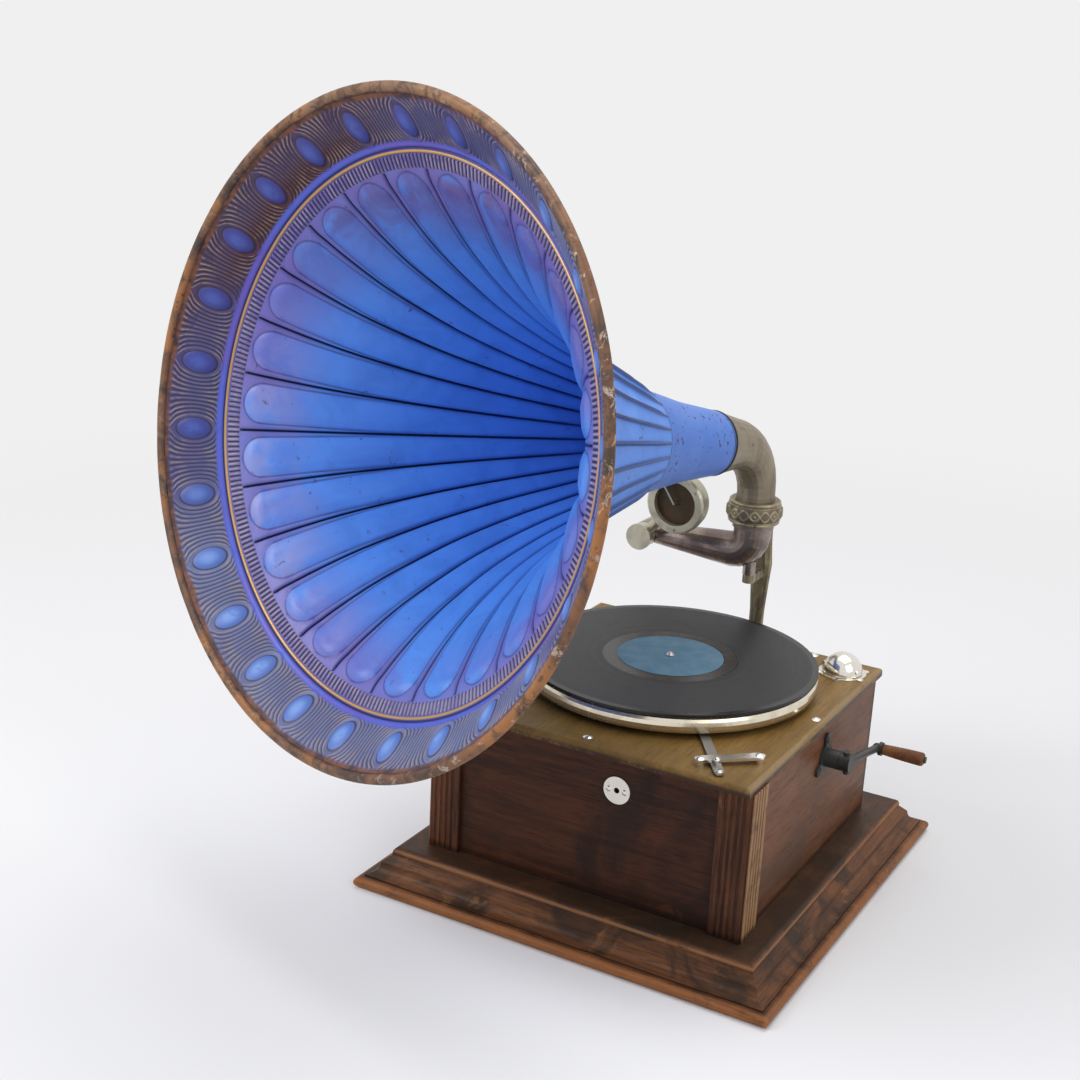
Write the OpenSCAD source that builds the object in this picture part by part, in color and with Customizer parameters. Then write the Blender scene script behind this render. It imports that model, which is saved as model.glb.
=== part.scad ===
// Horn gramophone with a wooden case, a rear bracket and an embossed horn.
// Millimetres. X to the right, Y to the back, Z up. The front panel faces -Y.
// The origin is the centre of the underside of the base board.

/* [Case] */
// Outer width of the case panels
case_w = 279; // [250:1:320]
// Outer depth of the case panels
case_d = 283.3; // [270:1:320]
// Height of the case panels
case_h = 126.6; // [120:0.2:150]
// Thickness of the case panels
wall_t = 12; // [9:0.5:15]
// Width of each leg of a corner pilaster
pilaster_w = 28.7; // [24:0.5:34]
// Thickness of the pilasters
pilaster_t = 4.5; // [3.5:0.5:7]
// Number of reeds grooved into a pilaster leg
flutes = 4; // [2:1:5]

/* [Base] */
// Overhang of the base board beyond the case at each side
base_side = 48.5; // [44:0.5:60]
// Overhang of the base board at the front
base_front = 50.4; // [45:0.5:62]
// Overhang of the base board at the back
base_back = 58.3; // [50:0.5:70]
// Thickness of the base board
base_t = 10; // [8:0.5:14]
// Width of the rails that stand on the base board
rail_w = 62; // [58:1:74]
// Height of the moulded rails
rail_h = 24.5; // [22:0.5:32]
// Step from the edge of the base board to the foot of the rails
base_step = 6.8; // [5:0.2:9]
// Radius of the bead at the top of the moulding
bead_r = 4.5; // [3:0.5:6]
// Radius of the cove at the foot of the moulding
cove_r = 10.2; // [8:0.2:12]
// Run of the slope between the bead and the cove
slope_run = 6.6; // [5:0.2:9]

/* [Motor board] */
// Thickness of the motor board
board_t = 7.6; // [7:0.2:12]
// Overhang of the board at the sides
board_side = 3; // [2:0.5:6]
// Overhang of the board at the front
board_front = 10.6; // [8:0.2:14]
// Overhang of the board at the back
board_back = 6.1; // [4:0.1:8]
// Radius of the rounded upper edge of the board
board_r = 3.5; // [2:0.5:5]

/* [Turntable] */
// Distance of the spindle to the right of the centre line
spindle_x = -2.4; // [-4:0.2:4]
// Distance of the spindle behind the centre of the case
spindle_back = 8.4; // [4:0.2:12]
// Gap between the board and the rim of the turntable
platter_gap = 4.8; // [4.6:0.2:8]
// Radius of the turntable
platter_r = 127; // [122:0.5:128]
// Height of the turntable
platter_h = 13.4; // [12:0.2:15]
// Thickness of the sheet of the turntable
platter_t = 2.2; // [1.6:0.2:3]
// Thickness of the felt
felt_t = 1.2; // [1:0.2:2]
// Radius of the record
record_r = 126.5; // [125:0.5:127]
// Thickness of the record
record_t = 2.2; // [1.8:0.2:2.8]
// Radius of the label
label_r = 45.7; // [38:0.1:50]
// Thickness of the label
label_t = 0.3; // [0.2:0.1:0.4]
// Radius of the spindle through the record
spindle_r = 3.6; // [3.4:0.1:3.8]
// Height of the spindle above the record
spindle_up = 3.7; // [3:0.1:8]

/* [Brake] */
// Distance of the brake pivot to the right of the spindle
brake_x = 62.3; // [60:0.1:64]
// Distance of the brake pivot in front of the spindle
brake_front = 73; // [71:0.5:75]
// Direction of the lever seen from above
brake_dir = -56; // [-58:0.5:-54]
// Length of the lever from its pivot to its knob
lever_len = 93; // [86:1:96]
// Width of the lever
lever_w = 8; // [6:0.5:10]
// Thickness of the lever
lever_t = 1.8; // [1.4:0.2:2.4]
// Swing of the lever from off to on
brake_swing = 16; // [10:1:18]
// Length of the guide bar that the lever slides under
guide_len = 57; // [50:1:62]
// Width of the guide bar
guide_w = 9; // [7:0.5:11]

/* [Needle cup] */
// Distance of the cup from the right edge of the board
cup_side = 26; // [25:0.5:30]
// Distance of the cup in front of the back edge of the board
cup_inset = 33.3; // [28:0.1:36]
// Width of the scalloped flange round the lid
flange_w = 3.5; // [3:0.25:4.5]
// Radius of the domed lid
dome_r = 17.5; // [15:0.5:18]
// Depth of the bowl below the board
cup_depth = 6.5; // [5:0.5:8]

/* [Crank] */
// Distance of the crank shaft behind the centre of the case
crank_back = 19.4; // [16:0.2:23]
// Distance of the crank shaft below the motor board
crank_drop = 30.6; // [28:0.2:34]
// Radius of the winding shaft
shaft_r = 4; // [3.5:0.25:4.5]
// Distance of the crank arm from the case
crank_reach = 19.6; // [18:0.2:26]
// Length of the crank arm
crank_len = 86; // [70:1:100]
// Angle of the crank arm below the horizontal at rest
crank_angle = 12.4; // [0:0.2:30]
// Length of the wooden grip
grip_len = 37; // [30:1:50]
// Radius of the wooden grip
grip_r = 6; // [5:0.25:8]

/* [Bracket] */
// Distance of the swivel axis behind the case
pivot_back = 24.8; // [24:0.2:30]
// Height of the underside of the collar above the motor board
collar_up = 104.7; // [102:0.1:108]
// Height of the collar
collar_h = 21.5; // [20:0.5:26]
// Outer radius of the collar
collar_r = 24.2; // [23:0.1:27]
// Radius of the bore in the collar
collar_bore = 17; // [16:0.25:17.5]
// Distance of the bracket stem behind the swivel axis
stem_back = 30; // [29:0.5:33]
// Half width of the bracket stem
stem_w = 7; // [6:0.25:9]
// Height of the foot plate on the back panel
foot_h = 62; // [56:1:70]

/* [Tone arm] */
// Radius of the upright tube of the tone arm
arm_r = 17.5; // [17:0.25:18.5]
// Radius of the tone arm at its thin end
arm_end_r = 9.8; // [8:0.2:11]
// Height of the tone arm axis above the motor board
arm_up = 74.3; // [72:0.5:76]
// Distance from the swivel axis to the cross barrel
arm_len = 104.5; // [100:0.5:112]
// Wall of the tone arm tube
arm_wall = 1.5; // [1:0.1:2]
// Radius of the cross barrel
barrel_r = 11.7; // [11:0.1:13]

/* [Soundbox] */
// Radius of the soundbox
box_r = 28.5; // [26:0.5:30]
// Depth of the soundbox
box_d = 25; // [22:0.5:26]
// Radius of the opening over the diaphragm
window_r = 20.5; // [18:0.5:22]
// Distance from the barrel axis to the soundbox centre
box_offset = 58.7; // [57:0.5:64]
// Rise of the neck above the tone arm at rest
box_angle = 46.4; // [44:0.2:52]
// Length of the needle beyond the rim of the soundbox
needle_out = 15; // [12:0.5:17]
// Lean of the needle from the line of the neck
needle_lean = 78.2; // [74:0.2:82]

/* [Elbow] */
// Radius of the elbow at the collar
elbow_r = 17.6; // [17.4:0.1:19]
// Radius of the elbow mouth
mouth_r = 28.5; // [27:0.25:30]
// Bend radius of the elbow
elbow_bend = 52; // [46:1:60]
// Length of the straight end of the elbow
elbow_end = 26; // [20:1:32]
// Height of the bend above the collar
elbow_rise = 7.2; // [6:0.2:14]
// Wall of the elbow
elbow_wall = 2; // [1.5:0.25:2.5]

/* [Horn] */
// Direction of the horn, to the left of straight forward
horn_heading = 15.9; // [0:0.5:30]
// Tilt of the horn above the horizontal
horn_tilt = 9; // [5:0.5:14]
// Length of the smooth throat of the horn
throat_len = 110; // [100:1:120]
// Length of the petalled part of the horn
bell_len = 260; // [245:1:280]
// Depth of the outer border
border_len = 34; // [30:0.5:40]
// Radius at the end of the throat
throat_r = 46; // [43:0.5:48]
// Radius at the gilt line
line_r = 203.5; // [195:0.5:208]
// Radius of the horn at its rolled rim
horn_r = 238.6; // [232:0.1:244]
// Thickness of the horn sheet
sheet_t = 1; // [0.8:0.1:1.4]
// Radius of the rolled rim
rim_r = 3.6; // [3:0.2:5]
// Number of petals
petals = 26; // [20:1:30]
// Turn of the first seam from the side of the horn, as a share of a petal
first_seam = 0.25; // [0:0.05:0.95]
// Depth of the seams between the petals
seam_depth = 2.6; // [2:0.2:4]
// Height of the embossed ovals in the border
oval_h = 2.6; // [1:0.2:3]

/* [Motor] */
// Gap between the motor board and the bedplate
bed_gap = 7; // [6:0.5:9]
// Thickness of the motor plates
plate_t = 4; // [3:0.5:5]
// Radius of the spring barrel
drum_r = 33; // [30:0.5:34]
// Height of the spring barrel
drum_h = 32; // [28:0.5:33]
// Wall of the spring barrel
drum_wall = 1.6; // [1.2:0.2:2]
// Teeth of the barrel gear
drum_teeth = 66; // [66:1:66]
// Teeth of the intermediate pinion
mid_pinion_teeth = 11; // [11:1:11]
// Teeth of the intermediate wheel
mid_teeth = 60; // [60:1:60]
// Teeth of the spindle pinion
spindle_teeth = 12; // [12:1:12]
// Pitch of the gear teeth divided by pi
gear_module = 1; // [1:0.02:1.04]
// Teeth of the winding pinion
pinion_teeth = 12; // [12:1:12]
// Teeth of the crown gear on the barrel arbor
crown_teeth = 24; // [24:1:24]
// Turns of the mainspring
spring_turns = 9; // [5:1:10]
// Radius of the governor disc
gov_disc_r = 17; // [14:0.5:18]

/* [Hidden] */
$fn = 48;
// Radial gap of a running fit
fit = 0.05;
// Gap between pieces that pass each other
seat = 0.3;
// Gap between pieces that move past each other
run = 1;

// Levels
case_z = base_t + rail_h;
board_z = case_z + case_h;
top_z = board_z + board_t;
platter_z = top_z + platter_gap;
platter_top = platter_z + platter_h;
record_z = platter_top + felt_t;
record_top = record_z + record_t;

// Plan of the case
base_w = case_w + 2 * base_side;
base_d = case_d + base_front + base_back;
case_y = (base_front - base_back) / 2;
front_y = case_y - case_d / 2;
back_y = case_y + case_d / 2;
side_x = case_w / 2;
rail_x = base_w / 2 - base_step;
rail_y = base_d / 2 - base_step;
board_w = case_w + 2 * board_side;
board_d = case_d + board_front + board_back;
board_y = case_y + (board_back - board_front) / 2;
spindle_y = case_y + spindle_back;

// Screws, and the size of the small ones against the others
screw_r = 1.9;
head_r = 4.2;
head_h = 1.4;
screw_len = 8;
board_screw = board_t - 1.6;
small = 0.6;

// Lock
lock_x = 28;
lock_z = board_z - 29;
lock_r = 11.6;
lock_t = 1.4;
lock_hole = 2.4;
lock_screw_x = 7;

// Crank
crank_z = board_z - crank_drop;
crank_y = case_y + crank_back;
arm_x = side_x + crank_reach;
crank_arm_r = 3.4;
grip_y = crank_y + crank_len * cos(crank_angle);
grip_z = crank_z - crank_len * sin(crank_angle);
escutcheon_r = 17;
escutcheon_t = 2.4;
escutcheon_lobe = 5;
boss_r = 8;
hub_l = 9;
crank_pin_r = 2.2;

// Motor train
winding_r = 12;
crown_r = winding_r * crown_teeth / pinion_teeth;
crown_face = 5;
tooth_h = 1.8;
drum_pitch = gear_module * 1.1 * drum_teeth / 2;
mid_pinion_pitch = gear_module * 1.1 * mid_pinion_teeth / 2;
mid_pitch = gear_module * mid_teeth / 2;
spindle_pitch = gear_module * spindle_teeth / 2;
drum_x = spindle_x + 59;
drum_y = crank_y;
bed_top = board_z - bed_gap;
bed_z = bed_top - plate_t;
crown_z = crank_z - winding_r;
drum_top = crown_z - 8.5;
drum_z = drum_top - drum_h;
drum_gear_t = 6;
drum_gear_z = drum_z - drum_gear_t;
mid_t = 3;
mid_z = drum_gear_z - mid_t - 4;
lower_top = mid_z - 4;
lower_z = lower_top - plate_t;
arbor_r = 5;
mid_arbor_r = 3;
// Ratchet and click on the winding shaft
ratchet_x = drum_x + crown_r + crown_face / 2 + 2;
ratchet_t = 2;
ratchet_r = winding_r - 2;
ratchet_tip = ratchet_r + 2.6;
click_back = 20;
click_up = 4;
click_dir = 35;
click_pin_r = 2;
shaft_lug_x = ratchet_x + 7;
shaft_lug_w = 16;
foot_spindle_r = 4;
// Place of the intermediate arbor, at its pitch distances from spindle and barrel
to_drum = [drum_x - spindle_x, drum_y - spindle_y];
span = norm(to_drum);
reach_spindle = mid_pitch + spindle_pitch;
reach_drum = drum_pitch + mid_pinion_pitch;
along = (reach_spindle * reach_spindle - reach_drum * reach_drum + span * span) / (2 * span);
aside = sqrt(reach_spindle * reach_spindle - along * along);
mid_x = spindle_x + (along * to_drum[0] + aside * to_drum[1]) / span;
mid_y = spindle_y + (along * to_drum[1] - aside * to_drum[0]) / span;
// Governor beside the spindle, its shaft along Y
wheel_r = 21;
wheel_t = 5;
worm_r = 4.5;
gov_x = spindle_x - wheel_r - worm_r - seat;
gov_z = crank_z - 3;
gov_reach = 78;
gov_front = spindle_y - gov_reach;
gov_back = spindle_y + 22;
gov_shaft_r = 2;
gov_weight_y = spindle_y - 44;
plate_x0 = gov_x - 18;
plate_x1 = drum_x + 41;
plate_y0 = gov_front - 6;
plate_y1 = drum_y + 44;
pillar_r = 4;
pillars = [[plate_x0 + 8, plate_y0 + 8], [plate_x1 - 8, plate_y0 + 8],
           [plate_x0 + 8, plate_y1 - 8], [plate_x1 - 8, plate_y1 - 8]];

// Brake
brake_px = spindle_x + brake_x;
brake_py = spindle_y - brake_front;
lever_z = top_z + 1.2;
// Middle of the guide bar in the frame of the lever, and its turn from square to the lever
guide_at = lever_len - 20.9;
guide_side = 12.1;
guide_turn = 8.2;
knob_r = 2.6;
knob_up = 3.8;
knob_at = guide_at + guide_w / 2 + knob_r + 2.4;
guide_t = 2.4;
guide_top = lever_z + lever_t + seat + guide_t;
brake_pin_r = 2.5;
guide_screw = guide_top - top_z + board_t - 2;
rim_inner = platter_r - platter_t;
rim_lip = 2;
pad_r = 4;
// Direction of the pad arm with the lever on, and the length at which the pad just clears the rim
pad_dir = brake_dir - 90 + brake_swing;
pad_from = brake_x * cos(pad_dir) - brake_front * sin(pad_dir);
pad_at = rim_inner - rim_lip - pad_r - seat;
pad_arm = sqrt(pow(pad_from, 2) + pow(pad_at, 2) - pow(brake_x, 2) - pow(brake_front, 2)) - pad_from;

// Cup
cup_x = board_w / 2 - cup_side;
cup_y = board_y + board_d / 2 - cup_inset;
flange_r = dome_r + flange_w;
scallop_r = 3.2;
cup_flange_t = 1.4;
cup_z = top_z + cup_flange_t;
cup_wall = 1.2;
cup_r = dome_r - 2;
cup_screw = cup_flange_t + board_screw;
hinge_dir = 155;
hinge_r = 1.1;
hinge_w = 1.8;
hinge_off = dome_r + 2.2;
hinge_z = cup_z + 2.2;

// Bracket
pivot_y = back_y + pivot_back;
collar_z = top_z + collar_up;
collar_top = collar_z + collar_h;
arm_z = top_z + arm_up;
arm_mid_r = arm_r - 1;
lug_top = arm_z - arm_mid_r - 4.5;
lug_t = 8;
lug_r = 5.5;
pin_r = 3;
stem_y = pivot_y + stem_back;
foot_w = 44;
foot_t = 5;
foot_z = board_z - foot_h / 2 - 14;
// Height at which the stem is slimmest
slim_z = top_z + 10;

// Elbow and horn
mouth_f = elbow_bend * (1 - sin(horn_tilt)) + elbow_end * cos(horn_tilt);
mouth_z = collar_top + elbow_rise + elbow_bend * cos(horn_tilt) + elbow_end * sin(horn_tilt);
horn_len = throat_len + bell_len + border_len;

// Soundbox
box_face = arm_len - box_offset * cos(box_angle);
box_x = -box_face;
box_z = arm_z + box_offset * sin(box_angle);
arm_face = 1.1;
arm_front = pivot_y - arm_end_r - arm_face;
box_back = arm_front - 0.7;
box_front = box_back - box_d;
swivel_len = 13.2;
swivel_front = arm_front - swivel_len;
neck_r = 5.6;
pivot_tube_r = 8;
needle_dir = box_angle + needle_lean;

// Shared shapes

// Gear with straight-flanked teeth and one tooth centred on +X
module gear(teeth, pitch_r, thick, depth) {
    step = 360 / teeth;
    linear_extrude(height = thick)
        polygon([for (i = [0:teeth - 1], k = [0:3])
            let (r = (k == 1 || k == 2) ? pitch_r + depth : pitch_r - depth)
            let (a = step * (i + [-0.22, -0.1, 0.1, 0.22][k]))
            [r * cos(a), r * sin(a)]]);
}

// Closed sheet or solid from rings of points, each ring joined to the next
module skin(rings, closed) {
    n = len(rings[0]);
    m = len(rings);
    last = closed ? m - 1 : m - 2;
    points = [for (ring = rings, p = ring) p];
    sides = [for (i = [0:last], j = [0:n - 1], t = [0:1])
        let (a = i * n + j, b = i * n + (j + 1) % n)
        let (c = ((i + 1) % m) * n + (j + 1) % n, d = ((i + 1) % m) * n + j)
        t == 0 ? [a, b, c] : [a, c, d]];
    ends = closed ? [] : [[for (j = [n - 1:-1:0]) j], [for (j = [0:n - 1]) (m - 1) * n + j]];
    polyhedron(points = points, faces = concat(sides, ends), convexity = 8);
}

// Screw with a domed head, its seat at the origin and its shank along -Z, at k times the usual size
module screw(shank = screw_len, k = 1) {
    dome = head_r * k * 1.6;
    translate([0, 0, -shank]) cylinder(r = screw_r * k, h = shank);
    intersection() {
        translate([0, 0, head_h * k - dome]) sphere(r = dome);
        cylinder(r = head_r * k, h = head_h * k);
    }
}

// Hole for such a screw
module screw_hole(shank = screw_len, k = 1) {
    translate([0, 0, -shank - seat]) cylinder(r = screw_r * k + fit, h = shank + seat + 1);
}

// Places of the screws, one module for screws and holes alike
module at_board_screws() {
    for (p = [[board_w / 2 - 8, case_y + 3.4], [spindle_x, board_y - board_d / 2 + 13.6],
              [cup_x - 36.1, board_y + board_d / 2 - 8]])
        translate([p[0], p[1], top_z]) children();
}

module at_lock_screws() {
    for (s = [-1, 1])
        translate([lock_x + s * lock_screw_x, front_y - lock_t, lock_z]) rotate([90, 0, 0]) children();
}

module at_guide_screws() {
    for (s = [-1, 1])
        on_guide() translate([0, s * (guide_len - guide_w) / 2, guide_top - lever_z]) children();
}

module at_cup_screws() {
    for (a = [-60, 60, 180]) translate([cup_x, cup_y, cup_z]) rotate([0, 0, hinge_dir + a])
        translate([flange_r, 0, 0]) children();
}

module at_escutcheon_screws() {
    for (a = [90, 210, 330])
        translate([side_x + escutcheon_t, crank_y, crank_z]) rotate([0, 90, 0]) rotate([0, 0, a - 90])
            translate([-escutcheon_r + 0.5, 0, 0]) children();
}

module at_foot_screws() {
    for (x = [-1, 1], z = [-1, 1])
        translate([x * foot_w / 3.4, back_y + foot_t, foot_z + z * foot_h / 3]) rotate([-90, 0, 0])
            children();
}

// Case

// Board whose edges all round have the given outline, a list of [inset, height]
module edged_board(w, d, edge) {
    intersection() {
        rotate([90, 0, 90]) translate([0, 0, -w]) linear_extrude(height = 2 * w)
            polygon(concat([for (p = edge) [d / 2 - p[0], p[1]]],
                           [for (i = [len(edge) - 1:-1:0]) [edge[i][0] - d / 2, edge[i][1]]]));
        rotate([90, 0, 0]) translate([0, 0, -d]) linear_extrude(height = 2 * d)
            polygon(concat([for (p = edge) [w / 2 - p[0], p[1]]],
                           [for (i = [len(edge) - 1:-1:0]) [edge[i][0] - w / 2, edge[i][1]]]));
    }
}

module base_board() {
    r = base_t / 2;
    color("saddlebrown")
        edged_board(base_w, base_d, [for (a = [-90:22.5:90]) [r - r * cos(a), r + r * sin(a)]]);
}

// Outline of the moulded rail: X outward from its foot, Y up
module rail_outline() {
    lip = 1.5;
    bead_x = -cove_r - slope_run + 1.5;
    polygon(concat(
        [[-rail_w, 0], [0, 0]],
        [for (a = [0:15:90]) [-cove_r * sin(a), lip + cove_r - cove_r * cos(a)]],
        [[-cove_r - slope_run, rail_h - bead_r - 2]],
        [for (a = [0:22.5:90]) [bead_x - 1.5 - bead_r + bead_r * cos(a), rail_h - bead_r + bead_r * sin(a)]],
        [[-rail_w, rail_h]]));
}

// Rail along X at distance y from the centre, mitred at both ends
module rail(x, y) {
    translate([0, 0, base_t]) intersection() {
        translate([-x, -y, 0]) rotate([90, 0, 90]) linear_extrude(height = 2 * x)
            mirror([1, 0, 0]) rail_outline();
        linear_extrude(height = rail_h)
            polygon([[-x, -y], [x, -y], [x - rail_w, rail_w - y], [rail_w - x, rail_w - y]]);
    }
}

module plinth_front() { color("saddlebrown") rail(rail_x, rail_y); }
module plinth_back() { color("saddlebrown") rotate([0, 0, 180]) rail(rail_x, rail_y); }
module plinth_left() { color("saddlebrown") rotate([0, 0, -90]) rail(rail_y, rail_x); }
module plinth_right() { color("saddlebrown") rotate([0, 0, 90]) rail(rail_y, rail_x); }

module case_front() {
    color("sienna") difference() {
        translate([wall_t - side_x, front_y, case_z]) cube([case_w - 2 * wall_t, wall_t, case_h]);
        translate([lock_x, front_y + wall_t + 1, lock_z]) rotate([90, 0, 0])
            cylinder(r = lock_hole, h = wall_t + 2);
        at_lock_screws() screw_hole(screw_len, small);
    }
}

module case_back() {
    color("sienna") difference() {
        translate([wall_t - side_x, back_y - wall_t, case_z]) cube([case_w - 2 * wall_t, wall_t, case_h]);
        at_foot_screws() screw_hole(foot_t + wall_t / 2);
    }
}

module side_panel(s) {
    translate([s > 0 ? side_x - wall_t : -side_x, front_y, case_z]) cube([wall_t, case_d, case_h]);
}

module case_left() { color("sienna") side_panel(-1); }

module case_right() {
    color("sienna") difference() {
        side_panel(1);
        translate([side_x - wall_t - 1, crank_y, crank_z]) rotate([0, 90, 0])
            cylinder(r = shaft_r + 1, h = wall_t + 2);
        at_escutcheon_screws() screw_hole();
    }
}

// Corner pilaster for the right front corner, with reeds between its grooves
module pilaster() {
    x1 = side_x + pilaster_t;
    y1 = front_y - pilaster_t;
    groove = pilaster_w / (flutes + 1.6);
    color("peru") translate([0, 0, case_z]) linear_extrude(height = case_h) difference() {
        union() {
            translate([x1 - pilaster_w, y1]) square([pilaster_w, pilaster_t]);
            translate([side_x, y1]) square([pilaster_t, pilaster_w]);
        }
        translate([x1 - 2, y1 - 1]) square([3, 3]);
        for (i = [1:flutes]) {
            translate([x1 - 2 - i * groove, y1]) circle(r = 1.3, $fn = 24);
            translate([x1, y1 + 2 + i * groove]) circle(r = 1.3, $fn = 24);
        }
    }
}

module pilaster_right() { pilaster(); }
module pilaster_left() { mirror([1, 0, 0]) pilaster(); }

module motor_board() {
    edge = concat([[0, 0]],
                  [for (a = [0:22.5:90]) [board_r - board_r * cos(a), board_t - board_r + board_r * sin(a)]]);
    color("darkgoldenrod") difference() {
        translate([0, board_y, board_z]) edged_board(board_w, board_d, edge);
        translate([spindle_x, spindle_y, board_z - 1]) cylinder(r = spindle_r + 5, h = board_t + 2);
        translate([cup_x, cup_y, top_z - cup_depth - seat])
            cylinder(r = cup_r + cup_wall + seat, h = cup_depth + 2);
        translate([brake_px, brake_py, board_z - 1]) cylinder(r = brake_pin_r, h = board_t + 2);
        at_board_screws() screw_hole(board_screw);
        at_guide_screws() screw_hole(guide_screw);
        at_cup_screws() screw_hole(cup_screw, small);
        for (p = pillars) translate([p[0], p[1], board_z - 1]) cylinder(r = screw_r + fit, h = board_t - 2);
    }
}

module lock_plate() {
    color("gainsboro") difference() {
        translate([lock_x, front_y, lock_z]) rotate([90, 0, 0]) cylinder(r = lock_r, h = lock_t);
        translate([lock_x, front_y + 1, lock_z]) rotate([90, 0, 0]) cylinder(r = lock_hole, h = lock_t + 2);
        at_lock_screws() screw_hole(screw_len, small);
    }
}

module nickel_screws() {
    color("silver") {
        at_board_screws() screw(board_screw);
        at_guide_screws() screw(guide_screw);
        at_cup_screws() screw(cup_screw, small);
        at_lock_screws() screw(screw_len, small);
    }
}

module iron_screws() {
    color("dimgray") {
        at_escutcheon_screws() screw();
        at_foot_screws() screw(foot_t + wall_t / 2);
    }
}

// Crank

module crank_escutcheon() {
    color("black") difference() {
        translate([side_x, crank_y, crank_z]) rotate([0, 90, 0]) {
            linear_extrude(height = escutcheon_t) {
                circle(r = boss_r + 4);
                for (a = [0, 120, 240]) rotate([0, 0, a]) {
                    translate([-escutcheon_r + 0.5, 0]) circle(r = escutcheon_lobe);
                    translate([-escutcheon_r + 0.5, -escutcheon_lobe * 0.8])
                        square([escutcheon_r - boss_r, escutcheon_lobe * 1.6]);
                }
            }
            cylinder(r = boss_r, h = crank_reach - hub_l / 2 - seat);
        }
        translate([side_x - 1, crank_y, crank_z]) rotate([0, 90, 0])
            cylinder(r = shaft_r + fit, h = crank_reach);
        at_escutcheon_screws() screw_hole();
    }
}

module winding_shaft() {
    x0 = drum_x + crown_r - crown_face / 2 - 2;
    color("dimgray") translate([0, crank_y, crank_z]) rotate([0, 90, 0]) {
        translate([0, 0, x0]) cylinder(r = shaft_r, h = arm_x + hub_l / 2 - x0);
        translate([0, 0, drum_x + crown_r - crown_face / 2])
            gear(pinion_teeth, winding_r, crown_face, tooth_h - 0.2);
        translate([0, 0, ratchet_x]) gear(pinion_teeth * 2, ratchet_r, ratchet_t, 1);
    }
}

// The arm leaves the hub square, bends, and runs down to the grip pin
module crank_arm() {
    color("black") difference() {
        union() {
            translate([arm_x - hub_l / 2, crank_y, crank_z]) rotate([0, 90, 0]) cylinder(r = boss_r, h = hub_l);
            translate([arm_x, crank_y, crank_z]) rotate([90 + crank_angle, 0, 180]) {
                cylinder(r = crank_arm_r, h = crank_len);
                translate([0, 0, crank_len]) sphere(r = crank_arm_r + 1);
            }
            translate([arm_x, grip_y, grip_z]) rotate([0, 90, 0]) {
                cylinder(r = crank_pin_r, h = grip_len + 6);
                translate([0, 0, 2]) cylinder(r = grip_r, h = 3);
                translate([0, 0, grip_len + 6]) cylinder(r = crank_pin_r + 0.8, h = 0.8);
            }
            // Cross pin through the hub
            translate([arm_x, crank_y, crank_z]) rotate([crank_angle, 0, 0])
                cylinder(r = 2.6, h = 2 * boss_r + 6, center = true);
        }
        translate([arm_x - hub_l, crank_y, crank_z]) rotate([0, 90, 0]) cylinder(r = shaft_r, h = 2 * hub_l);
    }
}

// Turned grip, slim at the arm and fuller toward its rounded end
module crank_grip() {
    slim = grip_r - 1.3;
    round_r = 2.5;
    color("chocolate") translate([arm_x + 5 + seat, grip_y, grip_z]) rotate([0, 90, 0])
        rotate_extrude() polygon(concat(
            [[crank_pin_r + fit, 0], [slim - 0.5, 0]],
            [for (i = [0:5]) [slim + (grip_r - slim) * sin(18 * i), 1 + (grip_len - 1 - round_r) * i / 5]],
            [for (a = [30:30:90]) [grip_r - round_r + round_r * cos(a), grip_len - round_r + round_r * sin(a)]],
            [[crank_pin_r + fit, grip_len]]));
}

// Motor

module plate(z) {
    translate([plate_x0, plate_y0, z]) cube([plate_x1 - plate_x0, plate_y1 - plate_y0, plate_t]);
}

// Bearing lug under the bedplate, bored along the given direction
module lug(w, t, drop, bore) {
    difference() {
        translate([-t / 2, -w / 2, -drop - w / 2]) cube([t, w, drop + w / 2]);
        translate([-t, 0, -drop]) rotate([0, 90, 0]) cylinder(r = bore, h = 2 * t);
    }
}

module motor_bedplate() {
    color("darkslategray") {
        difference() {
            plate(bed_z);
            translate([spindle_x, spindle_y, bed_z - 1]) cylinder(r = foot_spindle_r + fit, h = plate_t + 2);
            translate([drum_x, drum_y, bed_z - 1]) cylinder(r = arbor_r + fit, h = plate_t + 2);
            translate([mid_x, mid_y, bed_z - 1]) cylinder(r = mid_arbor_r + fit, h = plate_t + 2);
            for (p = pillars) translate([p[0], p[1], bed_z - 1]) cylinder(r = screw_r, h = plate_t + 2);
        }
        translate([shaft_lug_x, crank_y, bed_z]) lug(shaft_lug_w, 6, bed_z - crank_z, shaft_r + fit);
        for (y = [gov_front + 3, gov_back - 3])
            translate([gov_x, y, bed_z]) rotate([0, 0, 90]) lug(10, 4, bed_z - gov_z, gov_shaft_r + fit);
        translate([shaft_lug_x, crank_y + click_back, bed_z]) {
            translate([-3, -5, click_up + crank_z - bed_z - 5]) cube([6, 10, bed_z - crank_z - click_up + 5]);
            translate([ratchet_x - 1 - shaft_lug_x, 0, click_up + crank_z - bed_z]) rotate([0, 90, 0])
                cylinder(r = click_pin_r, h = shaft_lug_x - ratchet_x);
        }
    }
}

// Click that drops against the ratchet on the winding shaft
module winding_click() {
    tip = [ratchet_tip * cos(click_dir) - click_back, ratchet_tip * sin(click_dir) - click_up];
    side = [-tip[1], tip[0]] / norm(tip);
    color("goldenrod") translate([ratchet_x, crank_y + click_back, crank_z + click_up]) rotate([90, 0, 90])
        difference() {
            union() {
                cylinder(r = 4.5, h = ratchet_t);
                linear_extrude(height = ratchet_t)
                    polygon([-4 * side, tip - 1.1 * side, tip + 1.1 * side, 4 * side]);
            }
            translate([0, 0, -1]) cylinder(r = click_pin_r + fit, h = ratchet_t + 2);
        }
}

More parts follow.
